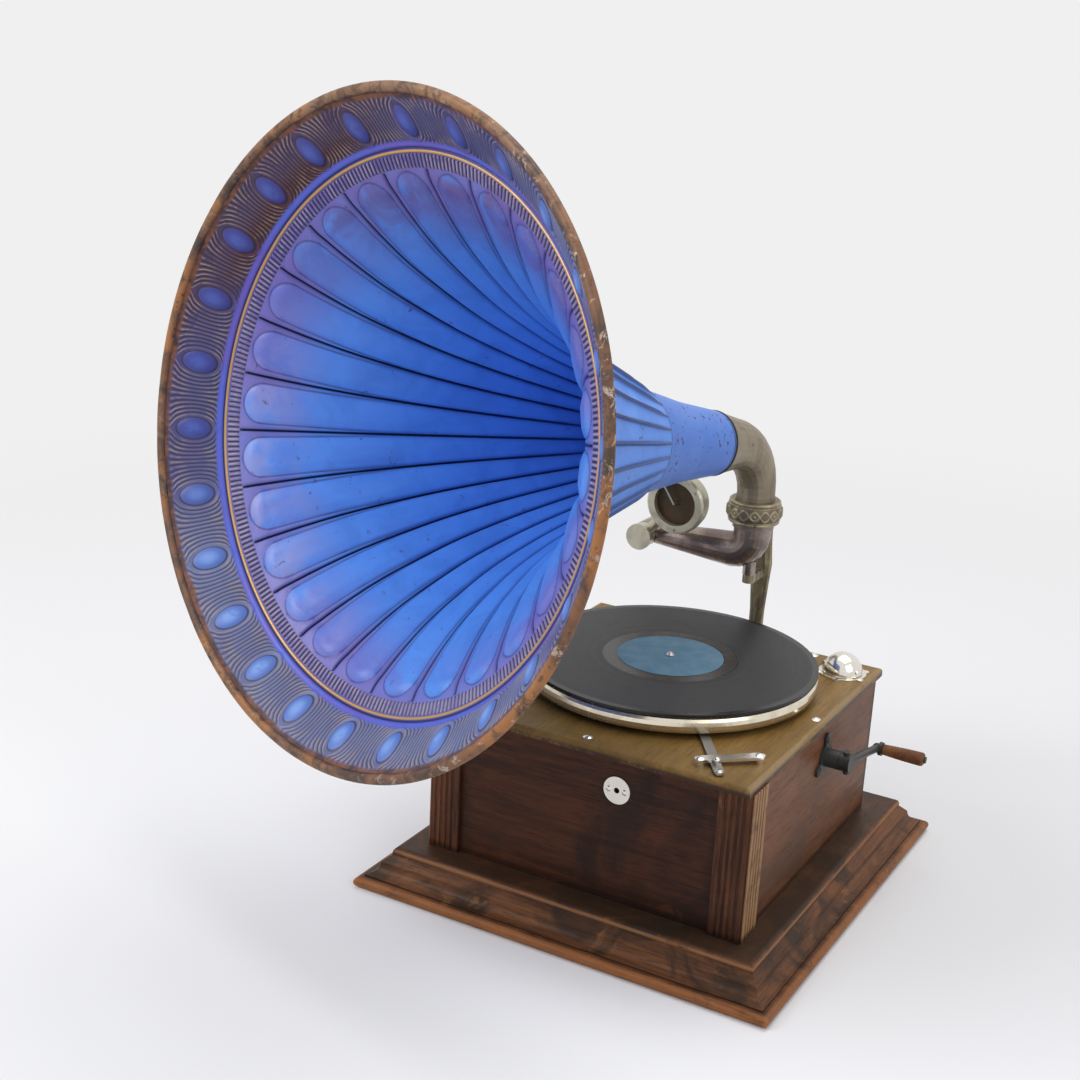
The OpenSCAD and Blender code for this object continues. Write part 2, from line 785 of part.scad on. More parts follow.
module motor_lower_plate() {
    color("darkslategray") difference() {
        plate(lower_z);
        translate([spindle_x, spindle_y, lower_z - 1]) cylinder(r = foot_spindle_r + fit, h = plate_t + 2);
        translate([drum_x, drum_y, lower_z - 1]) cylinder(r = arbor_r + fit, h = plate_t + 2);
        translate([mid_x, mid_y, lower_z - 1]) cylinder(r = mid_arbor_r + fit, h = plate_t + 2);
    }
}

module motor_pillars() {
    color("silver") for (p = pillars)
        translate([p[0], p[1], lower_top]) cylinder(r = pillar_r, h = bed_z - lower_top);
}

module motor_hangers() {
    color("silver") for (p = pillars) translate([p[0], p[1], bed_z]) {
        cylinder(r = screw_r, h = board_z - bed_z + board_t - 4);
        translate([0, 0, plate_t]) cylinder(r = pillar_r, h = bed_gap);
    }
}

module spring_barrel() {
    turn = atan2(mid_y - drum_y, mid_x - drum_x);
    color("goldenrod") translate([drum_x, drum_y, 0]) {
        translate([0, 0, drum_z]) rotate_extrude()
            polygon([[arbor_r + fit, 0], [drum_r, 0], [drum_r, drum_h], [arbor_r + fit, drum_h],
                     [arbor_r + fit, drum_h - drum_wall], [drum_r - drum_wall, drum_h - drum_wall],
                     [drum_r - drum_wall, drum_wall], [arbor_r + fit, drum_wall]]);
        translate([0, 0, drum_gear_z]) difference() {
            rotate([0, 0, turn]) gear(drum_teeth, drum_pitch, drum_gear_t, gear_module * 0.85);
            translate([0, 0, -1]) cylinder(r = arbor_r + fit, h = drum_gear_t + 2);
        }
    }
}

// Coiled strip that fills the barrel between the arbor and the wall
module mainspring() {
    r0 = arbor_r + 1.5;
    r1 = drum_r - drum_wall - 2;
    strip = 0.9;
    steps = spring_turns * 16;
    inner = [for (i = [0:steps]) let (a = i * 22.5, r = r0 + (r1 - r0) * i / steps)
        [r * cos(a), r * sin(a)]];
    outer = [for (i = [steps:-1:0]) let (a = i * 22.5, r = r0 + strip + (r1 - r0) * i / steps)
        [r * cos(a), r * sin(a)]];
    color("steelblue") translate([drum_x, drum_y, drum_z + drum_wall + seat])
        linear_extrude(height = drum_h - 2 * drum_wall - 2 * seat) polygon(concat(inner, outer));
}

module barrel_arbor() {
    color("silver") translate([drum_x, drum_y, 0]) {
        translate([0, 0, lower_z]) cylinder(r = arbor_r, h = bed_top - lower_z);
        translate([0, 0, crown_z - 5]) cylinder(r = crown_r + crown_face / 2, h = 3);
        for (i = [0:crown_teeth - 1]) rotate([0, 0, (i + 0.5) * 360 / crown_teeth])
            translate([crown_r - crown_face / 2, -0.9, crown_z - 3]) cube([crown_face, 1.8, 3 + tooth_h - 0.6]);
    }
}

module intermediate_wheel() {
    to_drum_dir = atan2(drum_y - mid_y, drum_x - mid_x);
    to_spindle_dir = atan2(spindle_y - mid_y, spindle_x - mid_x);
    color("goldenrod") translate([mid_x, mid_y, 0]) {
        translate([0, 0, lower_z]) cylinder(r = mid_arbor_r, h = bed_top - lower_z);
        translate([0, 0, drum_gear_z - 0.5]) rotate([0, 0, to_drum_dir + 180 / mid_pinion_teeth])
            gear(mid_pinion_teeth, mid_pinion_pitch, drum_gear_t + 1, gear_module * 0.85);
        translate([0, 0, mid_z]) rotate([0, 0, to_spindle_dir])
            gear(mid_teeth, mid_pitch, mid_t, gear_module * 0.8);
    }
}

// Spindle: from the lower plate, through its pinion and worm wheel, to the record
module turntable_spindle() {
    to_mid = atan2(mid_y - spindle_y, mid_x - spindle_x);
    tip = 2.5;
    color("silver") translate([spindle_x, spindle_y, 0]) {
        translate([0, 0, lower_z]) cylinder(r = foot_spindle_r, h = platter_top - lower_z);
        translate([0, 0, mid_z - 2]) rotate([0, 0, to_mid + 180 / spindle_teeth])
            gear(spindle_teeth, spindle_pitch, mid_t + 4, gear_module * 0.8);
        translate([0, 0, gov_z - wheel_t / 2]) cylinder(r = wheel_r, h = wheel_t);
        translate([0, 0, platter_top - 1])
            cylinder(r = spindle_r, h = record_top + spindle_up - tip - platter_top + 1);
        translate([0, 0, record_top + spindle_up - tip]) cylinder(r1 = spindle_r, r2 = 1.2, h = tip);
    }
}

module governor_shaft() {
    color("silver") translate([gov_x, gov_front, gov_z]) rotate([-90, 0, 0]) {
        cylinder(r = gov_shaft_r, h = gov_back - gov_front);
        translate([0, 0, spindle_y - gov_front - 9]) cylinder(r = worm_r, h = 18);
        translate([0, 0, gov_weight_y - gov_front - 17]) cylinder(r = gov_disc_r, h = 2);
        translate([0, 0, gov_weight_y - gov_front - 17]) cylinder(r = 4, h = 5);
        translate([0, 0, gov_weight_y - gov_front + 14]) cylinder(r = 4, h = 4);
    }
}

// Three weights on leaf springs round the shaft
module governor_weights() {
    color("gold") translate([gov_x, gov_weight_y, gov_z]) rotate([-90, 0, 0])
        for (a = [0, 120, 240]) rotate([0, 0, a]) {
            translate([9.5, 0, 0]) sphere(r = 5.5);
            translate([4, -2, -15]) cube([0.8, 4, 30]);
            translate([4, -1.5, -2]) cube([4, 3, 4]);
        }
}

// Lever with a friction pad that limits the speed at the governor disc
module governor_brake() {
    pad_y = gov_weight_y - 17 - seat;
    color("darkgoldenrod") {
        translate([gov_x + 4, pad_y - 3, gov_z - 4]) cube([8, 3, 8]);
        translate([gov_x + 8, pad_y - 6, gov_z - 4]) cube([4, 3, bed_z - gov_z + 4]);
    }
}

// Turntable and record

module turntable() {
    color("silver") translate([spindle_x, spindle_y, 0]) rotate_extrude($fn = 96)
        polygon(concat(
            [[foot_spindle_r + fit, platter_top], [foot_spindle_r + fit, platter_z],
             [foot_spindle_r + 6, platter_z], [foot_spindle_r + 6, platter_top - platter_t],
             [rim_inner - 1, platter_top - platter_t], [rim_inner, platter_top - platter_t - 1],
             [rim_inner, platter_z + 1.5], [rim_inner - rim_lip, platter_z + 1.5],
             [rim_inner - rim_lip, platter_z]],
            [for (a = [-90:30:90])
                [platter_r - 3 + 3 * cos(a), platter_z + platter_h / 2 + (platter_h / 2) * sin(a)]]));
}

module disc_with_hole(r, z, t, hole) {
    translate([spindle_x, spindle_y, z]) difference() {
        cylinder(r = r, h = t, $fn = 96);
        translate([0, 0, -1]) cylinder(r = hole, h = t + 2);
    }
}

module turntable_felt() {
    color("darkolivegreen") disc_with_hole(platter_r - 3, platter_top, felt_t, spindle_r + seat);
}

module record() { color("black") disc_with_hole(record_r, record_z, record_t, spindle_r + 2 * fit); }
module record_label() { color("teal") disc_with_hole(label_r, record_top, label_t, spindle_r + 2 * fit); }

// Brake

// Frame of the lever: origin at its pivot, X toward the knob
module on_lever() {
    translate([brake_px, brake_py, lever_z]) rotate([0, 0, brake_dir]) children();
}

// Frame of the guide bar, with its length along Y
module on_guide() {
    on_lever() translate([guide_at, guide_side, 0]) rotate([0, 0, guide_turn]) children();
}

// Bar on two feet, across the lever
module brake_guide() {
    half = guide_len / 2 - guide_w / 2;
    color("silver") difference() {
        on_guide() {
            for (s = [-1, 1]) translate([0, s * half, top_z - lever_z])
                cylinder(r = guide_w / 2, h = guide_top - top_z);
            translate([-guide_w / 2, -half, guide_top - lever_z - guide_t]) cube([guide_w, 2 * half, guide_t]);
        }
        at_guide_screws() screw_hole(guide_screw);
    }
}

module brake_lever() {
    color("darkgray") on_lever() difference() {
        union() {
            cylinder(r = lever_w / 2 + 1, h = lever_t);
            translate([0, -lever_w / 2, 0]) cube([lever_len, lever_w, lever_t]);
            translate([lever_len, 0, 0]) cylinder(r = lever_w / 2, h = lever_t);
            rotate([0, 0, -90]) translate([0, -lever_w / 2, 0]) cube([pad_arm, lever_w, lever_t]);
            rotate([0, 0, -90]) translate([pad_arm, 0, 0]) cylinder(r = pad_r, h = lever_t);
        }
        translate([0, 0, -1]) cylinder(r = brake_pin_r + fit, h = lever_t + 2);
    }
}

module brake_pivot() {
    color("silver") translate([brake_px, brake_py, board_z + 1]) {
        cylinder(r = brake_pin_r, h = lever_z + lever_t + seat - board_z);
        translate([0, 0, top_z - board_z - 1]) cylinder(r = brake_pin_r + 2, h = lever_z - top_z);
        translate([0, 0, lever_z + lever_t + seat - board_z - 1]) cylinder(r = brake_pin_r + 2, h = 1.6);
    }
}

// Pad under the turntable, just inside its rim when the lever is on
module brake_pad() {
    color("sienna") on_lever() rotate([0, 0, -90]) translate([pad_arm, 0, lever_t])
        cylinder(r = pad_r, h = platter_top - platter_t - lever_z - lever_t - run);
}

// Ball on a post just in front of the guide, and a low stud at the end of the lever
module brake_knob() {
    color("silver") on_lever() translate([0, 0, lever_t]) {
        translate([lever_len, 0, 0]) cylinder(r1 = 3, r2 = 2.2, h = 2);
        translate([knob_at, 0, 0]) cylinder(r = knob_r * small, h = knob_up);
        translate([knob_at, 0, knob_up]) sphere(r = knob_r);
    }
}

// Needle cup

module needle_cup() {
    color("silver") difference() {
        union() {
            translate([cup_x, cup_y, top_z]) cylinder(r = flange_r, h = cup_flange_t);
            for (a = [0:60:300]) translate([cup_x, cup_y, top_z]) rotate([0, 0, hinge_dir + a])
                translate([flange_r, 0, 0]) cylinder(r = scallop_r, h = cup_flange_t);
            translate([cup_x, cup_y, top_z - cup_depth]) cylinder(r = cup_r + cup_wall, h = cup_depth);
            translate([cup_x, cup_y, 0]) rotate([0, 0, hinge_dir]) {
                for (s = [-1, 1]) {
                    translate([hinge_off - 1.8, s * (hinge_w + seat + 1) - 1, top_z])
                        cube([3.6, 2, hinge_z - top_z]);
                    translate([hinge_off, s * (hinge_w + seat + 1) - 1, hinge_z]) rotate([-90, 0, 0])
                        cylinder(r = 1.8, h = 2);
                }
                translate([hinge_off, -hinge_w - 1, hinge_z]) rotate([-90, 0, 0])
                    cylinder(r = hinge_r, h = 2 * hinge_w + 2);
            }
        }
        translate([cup_x, cup_y, top_z - cup_depth + cup_wall]) cylinder(r = cup_r, h = cup_depth + 2);
        at_cup_screws() screw_hole(cup_screw, small);
    }
}

// Hollow dome with a knob, hinged at the back
module cup_lid() {
    color("silver") translate([cup_x, cup_y, cup_z + seat]) {
        difference() {
            sphere(r = dome_r, $fn = 64);
            sphere(r = dome_r - cup_wall, $fn = 64);
            translate([0, 0, -2 * dome_r]) cube([4 * dome_r, 4 * dome_r, 4 * dome_r], center = true);
        }
        rotate([0, 0, hinge_dir]) difference() {
            union() {
                translate([hinge_off, -hinge_w, hinge_z - cup_z - seat]) rotate([-90, 0, 0])
                    cylinder(r = hinge_r + 0.8, h = 2 * hinge_w);
                translate([dome_r - 1, -hinge_w, hinge_z - cup_z - seat])
                    cube([hinge_off - dome_r + 1, 2 * hinge_w, hinge_r + 0.8]);
            }
            translate([hinge_off, -3, hinge_z - cup_z - seat]) rotate([-90, 0, 0])
                cylinder(r = hinge_r + fit, h = 6);
        }
        rotate([0, 0, hinge_dir + 180]) translate([dome_r - 0.6, 0, 4]) sphere(r = 2, $fn = 24);
    }
}

// Bracket

// One ring of the stem: a rounded bar of half width w and half thickness t, square to the path
function bar_ring(y, z, w, t, tilt) = [for (k = [0:11]) let (a = k * 30)
    [w * cos(a), y + t * sin(a) * cos(tilt), z + t * sin(a) * sin(tilt)]];

module bracket_stem() {
    skin([bar_ring(back_y + 3, foot_z + 4, stem_w + 4, 8, 90),
          bar_ring(back_y + 20, foot_z + 6, stem_w + 2, 7, 100),
          bar_ring(stem_y - 9, foot_z + 18, stem_w, 6, 140),
          bar_ring(stem_y, foot_z + 40, stem_w + 0.3, 5, 180),
          bar_ring(stem_y, slim_z, stem_w + 0.3, 5, 180),
          bar_ring(stem_y, lug_top - 16, stem_w + 2.2, 5.5, 180),
          bar_ring(stem_y - 1, lug_top + 4, stem_w + 4.2, 6, 180),
          bar_ring(stem_y - 2.4, arm_z + 2, stem_w + 3, 4.2, 180),
          bar_ring(stem_y - 2.6, collar_z - 4, stem_w + 2, 4.2, 180),
          bar_ring(pivot_y + collar_r - 1.7, collar_z + 8, stem_w + 3, 5, 180)], false);
}

module back_bracket() {
    bulge = 2.2;
    color("tan") difference() {
        union() {
            translate([0, pivot_y, collar_z]) {
                cylinder(r = collar_r - bulge, h = collar_h);
                translate([0, 0, 4]) cylinder(r1 = collar_r - bulge, r2 = collar_r, h = 3);
                translate([0, 0, 7]) cylinder(r = collar_r, h = collar_h - 14);
                translate([0, 0, collar_h - 7]) cylinder(r1 = collar_r, r2 = collar_r - bulge, h = 3);
                for (a = [22.5:45:337.5]) rotate([0, 0, a]) translate([collar_r - 3, 0, collar_h / 2])
                    rotate([0, 90, 0]) cylinder(r = 4.2, h = 4);
            }
            bracket_stem();
            translate([0, pivot_y, lug_top - lug_t]) cylinder(r = lug_r, h = lug_t);
            translate([-lug_r, pivot_y, lug_top - lug_t]) cube([2 * lug_r, stem_back, lug_t]);
            translate([0, pivot_y, lug_top - 1]) cylinder(r = pin_r, h = 7);
            translate([-foot_w / 2 + 6, back_y, foot_z - foot_h / 2]) cube([foot_w - 12, foot_t, foot_h]);
            translate([-foot_w / 2, back_y, foot_z - foot_h / 2 + 6]) cube([foot_w, foot_t, foot_h - 12]);
        }
        translate([0, pivot_y, collar_z - 1]) cylinder(r = collar_bore + fit, h = collar_h + 2);
        at_foot_screws() screw_hole(foot_t + wall_t / 2);
        translate([-foot_w, back_y - 20, foot_z - foot_h]) cube([2 * foot_w, 20, 2 * foot_h]);
    }
}

// Elbow and horn

// Ring of a bent tube, square to the bend at angle a, in the plane of the horn
function elbow_ring(a, r, n) = let (f = elbow_bend * (1 - cos(a)), z = elbow_rise + elbow_bend * sin(a))
    [for (k = [0:n - 1]) let (b = k * 360 / n)
        [r * cos(b), -(f + r * sin(b) * cos(a)), z - r * sin(b) * sin(a)]];

function lifted(ring, f, z) = [for (p = ring) [p[0], p[1] - f, p[2] + z]];

module elbow() {
    n = 24;
    bend = 90 - horn_tilt;
    steps = 8;
    base_h = 3;
    wide = elbow_r + (mouth_r - elbow_r) * 0.55;
    outer = concat(
        [lifted(elbow_ring(0, elbow_r, n), 0, base_h - 1 - elbow_rise)],
        [for (i = [0:steps]) elbow_ring(bend * i / steps, elbow_r + (wide - elbow_r) * pow(i / steps, 1.5), n)],
        [lifted(elbow_ring(bend, mouth_r, n), elbow_end * cos(horn_tilt), elbow_end * sin(horn_tilt))]);
    inner = concat(
        [lifted(elbow_ring(bend, mouth_r - elbow_wall, n), elbow_end * cos(horn_tilt),
                elbow_end * sin(horn_tilt))],
        [for (i = [steps:-1:0])
            elbow_ring(bend * i / steps, elbow_r - elbow_wall + (wide - elbow_r) * pow(i / steps, 1.5), n)],
        [lifted(elbow_ring(0, elbow_r - elbow_wall, n), 0, base_h - 1 - elbow_rise)]);
    color("tan") translate([0, pivot_y, collar_top]) {
        rotate([0, 0, -horn_heading]) skin(concat(outer, inner), true);
        difference() {
            union() {
                cylinder(r = elbow_r + 0.6, h = base_h);
                translate([0, 0, 1 - collar_h / 2]) cylinder(r = collar_bore, h = collar_h / 2);
            }
            translate([0, 0, -collar_h]) cylinder(r = collar_bore - 2, h = collar_h + base_h + 1);
        }
    }
}

// Frame of the horn: origin at the elbow mouth, Z along the horn
module on_horn() {
    translate([0, pivot_y, 0]) rotate([0, 0, -horn_heading]) translate([0, -mouth_f, mouth_z])
        rotate([90 - horn_tilt, 0, 0]) children();
}

module horn_gasket() {
    color("black") on_horn() rotate_extrude()
        polygon([[mouth_r - elbow_wall, seat / 3], [mouth_r + 0.6, seat / 3],
                 [mouth_r + 0.6, 2], [mouth_r - elbow_wall, 2]]);
}

// Radius of the horn against the distance from the elbow
function horn_curve(t) = lookup(t, [
    [0, mouth_r],
    [throat_len / 2, mouth_r + (throat_r - mouth_r) * 0.38],
    [throat_len, throat_r],
    [throat_len + bell_len * 0.15, throat_r + (line_r - throat_r) * 0.084],
    [throat_len + bell_len * 0.38, throat_r + (line_r - throat_r) * 0.225],
    [throat_len + bell_len * 0.62, throat_r + (line_r - throat_r) * 0.417],
    [throat_len + bell_len * 0.82, throat_r + (line_r - throat_r) * 0.644],
    [throat_len + bell_len * 0.93, throat_r + (line_r - throat_r) * 0.822],
    [throat_len + bell_len * 0.97, throat_r + (line_r - throat_r) * 0.9],
    [throat_len + bell_len, line_r],
    [throat_len + bell_len + border_len * 0.42, line_r + (horn_r - line_r) * 0.5],
    [horn_len, horn_r]]);

module horn_throat() {
    n = 6;
    color("royalblue") on_horn() rotate_extrude($fn = 64)
        polygon(concat(
            [for (i = [0:n]) let (t = 2.3 + (throat_len - 2.3) * i / n) [horn_curve(t), t]],
            [for (i = [n:-1:0]) let (t = 2.3 + (throat_len - 2.3) * i / n) [horn_curve(t) - sheet_t, t]]));
}

// Embossing height at phase p of a petal, 0 at its seam and 0.5 at its middle
function emboss(t, p) =
    let (u = (t - throat_len) / bell_len)
    let (v = (t - throat_len - bell_len) / border_len)
    v > 0 ? (v < 1 ? oval_h * sin(180 * v) * (0.5 + 0.5 * cos(360 * p)) : 0)
          : u > 0.985 ? 1.5 * (u - 0.985) / 0.015
          : u > 0.96 ? 0
          : -seam_depth * min(1, u * 12) * (1 - pow(sin(180 * p), 0.6));

// One closed ring round the horn at distance t, on the inner or the outer face of the sheet
function horn_ring(t, back) =
    let (e = 0.5)
    let (t0 = max(t - e, 0), t1 = min(t + e, horn_len))
    let (slope = (horn_curve(t1) - horn_curve(t0)) / (t1 - t0))
    let (len_n = sqrt(1 + slope * slope), nr = -1 / len_n, nt = slope / len_n)
    let (per = 4, n = petals * per)
    [for (k = [0:n - 1]) let (p = (k % per) / per, h = emboss(t, p) - back)
        let (r = horn_curve(t) + nr * h, a = (k / per + first_seam) * 360 / petals)
        [r * cos(a), r * sin(a), t + nt * h]];

module horn_bell() {
    marks = concat(
        [for (u = [0, 0.04, 0.15, 0.26, 0.38, 0.5, 0.62, 0.72, 0.82, 0.88, 0.93, 0.965, 0.985, 1])
            throat_len + bell_len * u],
        [for (v = [0.25, 0.5, 0.75, 1]) throat_len + bell_len + border_len * v]);
    m = len(marks) - 1;
    color("royalblue") on_horn()
        skin(concat([for (i = [m:-1:0]) horn_ring(marks[i], 0)],
                    [for (i = [0:m]) horn_ring(marks[i], sheet_t)]), true);
}

module horn_rim() {
    color("peru") on_horn() translate([0, 0, horn_len + sheet_t / 2])
        rotate_extrude($fn = 96) translate([horn_r + rim_r + sheet_t, 0]) circle(r = rim_r, $fn = 20);
}

// Tone arm and soundbox

// Ring of the tone arm tube at angle a of its bend, from upright to level
function arm_ring(a, r, n) = let (b = arm_r + 0.5)
    [for (k = [0:n - 1]) let (c = k * 360 / n)
        [-b * (1 - cos(a)) + r * cos(c) * cos(a), r * sin(c), b - b * sin(a) - r * cos(c) * sin(a)]];

function arm_rings(shrink, n) = let (b = arm_r + 0.5, far = arm_len - 4)
    concat([lifted(arm_ring(0, arm_r - shrink, n), 0, collar_z - arm_z - b - 3)],
           [for (i = [0:5]) arm_ring(18 * i, arm_r - i * 0.2 - shrink, n)],
           [for (i = [1:4]) let (x = b + (far - b) * i / 4)
               [for (p = arm_ring(90, arm_mid_r + (arm_end_r - arm_mid_r) * i / 4 - shrink, n))
                   [p[0] + b - x, p[1], p[2]]]]);

module tone_arm() {
    n = 24;
    outer = arm_rings(0, n);
    inner = arm_rings(arm_wall, n);
    color("rosybrown") {
        translate([0, pivot_y, arm_z]) difference() {
            skin(concat(outer, [for (i = [len(inner) - 1:-1:0]) inner[i]]), true);
            translate([-arm_len, 0, 0]) rotate([90, 0, 0])
                translate([0, 0, -20]) cylinder(r = barrel_r - 1, h = 40);
        }
        // Shoulder under the collar and neck inside it
        translate([0, pivot_y, 0]) difference() {
            union() {
                translate([0, 0, collar_z - 5]) cylinder(r = arm_r + 1.6, h = 5 - seat);
                translate([0, 0, collar_z - 1]) cylinder(r = collar_bore, h = collar_h / 2 - 0.4);
            }
            translate([0, 0, collar_z - 6]) cylinder(r = collar_bore - 2, h = collar_h);
        }
        // Socket on the lower pivot pin
        translate([0, pivot_y, lug_top]) difference() {
            cylinder(r = 6, h = 13);
            translate([0, 0, -1]) cylinder(r = pin_r + fit, h = 7.3);
        }
        // Barrel across the thin end
        translate([-arm_len, 0, arm_z]) rotate([-90, 0, 0]) difference() {
            translate([0, 0, arm_front + 0.3]) cylinder(r = barrel_r, h = 2 * arm_end_r + 1 + arm_face);
            translate([0, 0, arm_front - 1]) cylinder(r = pivot_tube_r + fit, h = 2 * arm_end_r);
        }
    }
}

// Turning half of the barrel with its cap, and the neck to the soundbox
module soundbox_swivel() {
    color("rosybrown") translate([-arm_len, 0, arm_z]) {
        rotate([-90, 0, 0]) {
            translate([0, 0, swivel_front]) cylinder(r = barrel_r + 0.8, h = 3);
            translate([0, 0, swivel_front]) cylinder(r = barrel_r - 0.2, h = arm_front - swivel_front);
            translate([0, 0, swivel_front]) cylinder(r = pivot_tube_r, h = arm_front - swivel_front + 14);
        }
        translate([0, (swivel_front + 3 + arm_front) / 2, 0]) rotate([0, 90 - box_angle, 0])
            cylinder(r = neck_r - 0.8, h = box_offset - box_r + 1);
    }
}

// Frame of the soundbox: origin at its centre, Z toward its open face
module on_box(y) {
    translate([box_x, y, box_z]) rotate([90, 0, 0]) children();
}

module soundbox_back() {
    shell = 1.6;
    rise = box_d - 9;
    color("tan") difference() {
        on_box(box_back) rotate_extrude()
            polygon(concat(
                [for (a = [0:15:75]) [(box_r - 1.5) * cos(90 - a), 8 - 8 * cos(a)]],
                [[box_r - 1.5, 8], [box_r - 1.5, rise], [box_r - 1.5 - shell, rise],
                [box_r - 1.5 - shell, 8 + shell],
                 [0, 6 + shell]]));
        translate([-arm_len, (swivel_front + 3 + arm_front) / 2, arm_z]) rotate([0, 90 - box_angle, 0])
            cylinder(r = neck_r - 0.8, h = box_offset - box_r + 1);
    }
}

module soundbox_gasket() {
    color("black") on_box(box_back - box_d + 9) difference() {
        cylinder(r = box_r - 0.8, h = 1.4);
        translate([0, 0, -1]) cylinder(r = window_r + 2, h = 4);
    }
}

module soundbox_ring() {
    color("tan") on_box(box_back - box_d + 7.6) difference() {
        union() {
            cylinder(r = box_r, h = 5.6);
            translate([0, 0, 5.6]) cylinder(r1 = box_r, r2 = box_r - 2, h = 2);
            rotate([0, 0, needle_dir]) translate([box_r - 3, -4, 0]) cube([6, 8, 2.6]);
        }
        translate([0, 0, 1.6]) cylinder(r = window_r, h = 8);
        translate([0, 0, -1]) cylinder(r = window_r + 2, h = 2.6);
        for (a = [30, 150, 270]) rotate([0, 0, needle_dir + a])
            translate([(box_r + window_r) / 2, 0, 6.4]) cylinder(r = 1.3, h = 2);
    }
}

module diaphragm() {
    color("saddlebrown") on_box(box_back - box_d + 7.6) cylinder(r = window_r + 1.8, h = 1.2);
    color("white") on_box(box_back - box_d + 6.4) cylinder(r1 = 2.6, r2 = 1.4, h = 1.4);
}

// Bar from the diaphragm centre over the ring to the needle chuck
module stylus_bar() {
    color("silver") on_box(box_front) rotate([0, 0, needle_dir]) {
        translate([0, -0.9, 0]) cube([box_r + 3, 1.8, 1.4]);
        translate([0, -0.9, -5]) cube([1.8, 1.8, 5]);
        difference() {
            translate([box_r + 0.3, 0, -1.6]) rotate([0, 90, 0]) cylinder(r = 3, h = 8);
            translate([box_r + 2, 0, -1.6]) rotate([0, 90, 0]) cylinder(r = 0.9 + fit, h = 8);
            translate([box_r + 5, 0, -1.6]) rotate([90, 0, 0]) cylinder(r = 1.2, h = 6);
        }
    }
}

module needle() {
    color("silver") on_box(box_front) rotate([0, 0, needle_dir]) translate([box_r + 3, 0, -1.6])
        rotate([0, 90, 0]) {
        cylinder(r = 0.9, h = needle_out - 6);
        translate([0, 0, needle_out - 6]) cylinder(r1 = 0.9, r2 = 0.2, h = 3);
    }
}

module needle_screw() {
    color("silver") on_box(box_front) rotate([0, 0, needle_dir]) translate([box_r + 5, 0, -1.6])
        rotate([90, 0, 0]) {
            translate([0, 0, 1]) cylinder(r = 1.2 - fit, h = 5);
            translate([0, 0, 6]) cylinder(r = 2.8, h = 2);
        }
}

base_board();
plinth_front();
plinth_back();
plinth_left();
plinth_right();
case_front();
case_back();
case_left();
case_right();
pilaster_left();
pilaster_right();
motor_board();
lock_plate();
nickel_screws();
iron_screws();
crank_escutcheon();
winding_shaft();
crank_arm();
crank_grip();
motor_bedplate();
motor_lower_plate();
motor_pillars();
motor_hangers();
spring_barrel();
mainspring();
barrel_arbor();
winding_click();
intermediate_wheel();
turntable_spindle();
governor_shaft();
governor_weights();
governor_brake();
turntable();
turntable_felt();
record();
record_label();
brake_guide();
brake_lever();
brake_pivot();
brake_pad();
brake_knob();
needle_cup();
cup_lid();
back_bracket();
elbow();
horn_gasket();
horn_throat();
horn_bell();
horn_rim();
tone_arm();
soundbox_swivel();
soundbox_back();
soundbox_gasket();
soundbox_ring();
diaphragm();
stylus_bar();
needle();
needle_screw();
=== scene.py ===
"""Looks of a table gramophone with a petalled horn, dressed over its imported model. Metres, Z up."""
import logging
import math
from dataclasses import dataclass
from enum import Enum
from typing import Iterable, Optional, Sequence

import bpy
import numpy as np
from mathutils import Matrix, Vector


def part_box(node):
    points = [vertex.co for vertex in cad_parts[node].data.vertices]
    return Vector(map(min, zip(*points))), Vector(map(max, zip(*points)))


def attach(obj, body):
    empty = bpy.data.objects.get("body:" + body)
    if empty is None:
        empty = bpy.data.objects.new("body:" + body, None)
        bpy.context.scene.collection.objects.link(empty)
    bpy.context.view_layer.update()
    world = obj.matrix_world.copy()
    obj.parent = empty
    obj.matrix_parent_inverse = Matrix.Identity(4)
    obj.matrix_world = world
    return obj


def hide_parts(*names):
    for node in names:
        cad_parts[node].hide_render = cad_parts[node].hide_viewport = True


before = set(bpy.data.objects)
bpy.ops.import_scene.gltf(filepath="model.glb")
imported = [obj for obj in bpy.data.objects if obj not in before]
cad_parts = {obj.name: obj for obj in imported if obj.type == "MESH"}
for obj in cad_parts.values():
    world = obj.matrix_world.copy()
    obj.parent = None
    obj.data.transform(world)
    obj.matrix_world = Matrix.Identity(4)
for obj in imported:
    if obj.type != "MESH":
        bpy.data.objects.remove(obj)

log = logging.getLogger("gramophone")
logging.basicConfig(level=logging.INFO, format="%(name)s: %(message)s")

MM = 0.001
ARM_AXIS_Y = 162.5       # Upright axis of the arm, the collar and the horn, in millimetres
Colour = tuple[float, float, float]


# Shader expressions

class Value:
    """A number socket of a shader. Arithmetic on it adds Math nodes."""

    def __init__(self, graph: "Graph", socket: bpy.types.NodeSocket) -> None:
        """Wrap an output socket of the graph."""
        self.graph = graph
        self.socket = socket

    def __add__(self, other: "Number") -> "Value":
        """Sum of this and another number."""
        return self.graph.math("ADD", self, other)

    __radd__ = __add__

    def __sub__(self, other: "Number") -> "Value":
        """This less another number."""
        return self.graph.math("SUBTRACT", self, other)

    def __rsub__(self, other: "Number") -> "Value":
        """Another number less this."""
        return self.graph.math("SUBTRACT", other, self)

    def __mul__(self, other: "Number") -> "Value":
        """Product of this and another number."""
        return self.graph.math("MULTIPLY", self, other)

    __rmul__ = __mul__

    def __abs__(self) -> "Value":
        """Size of this without its sign."""
        return self.graph.math("ABSOLUTE", self)


Number = Value | float


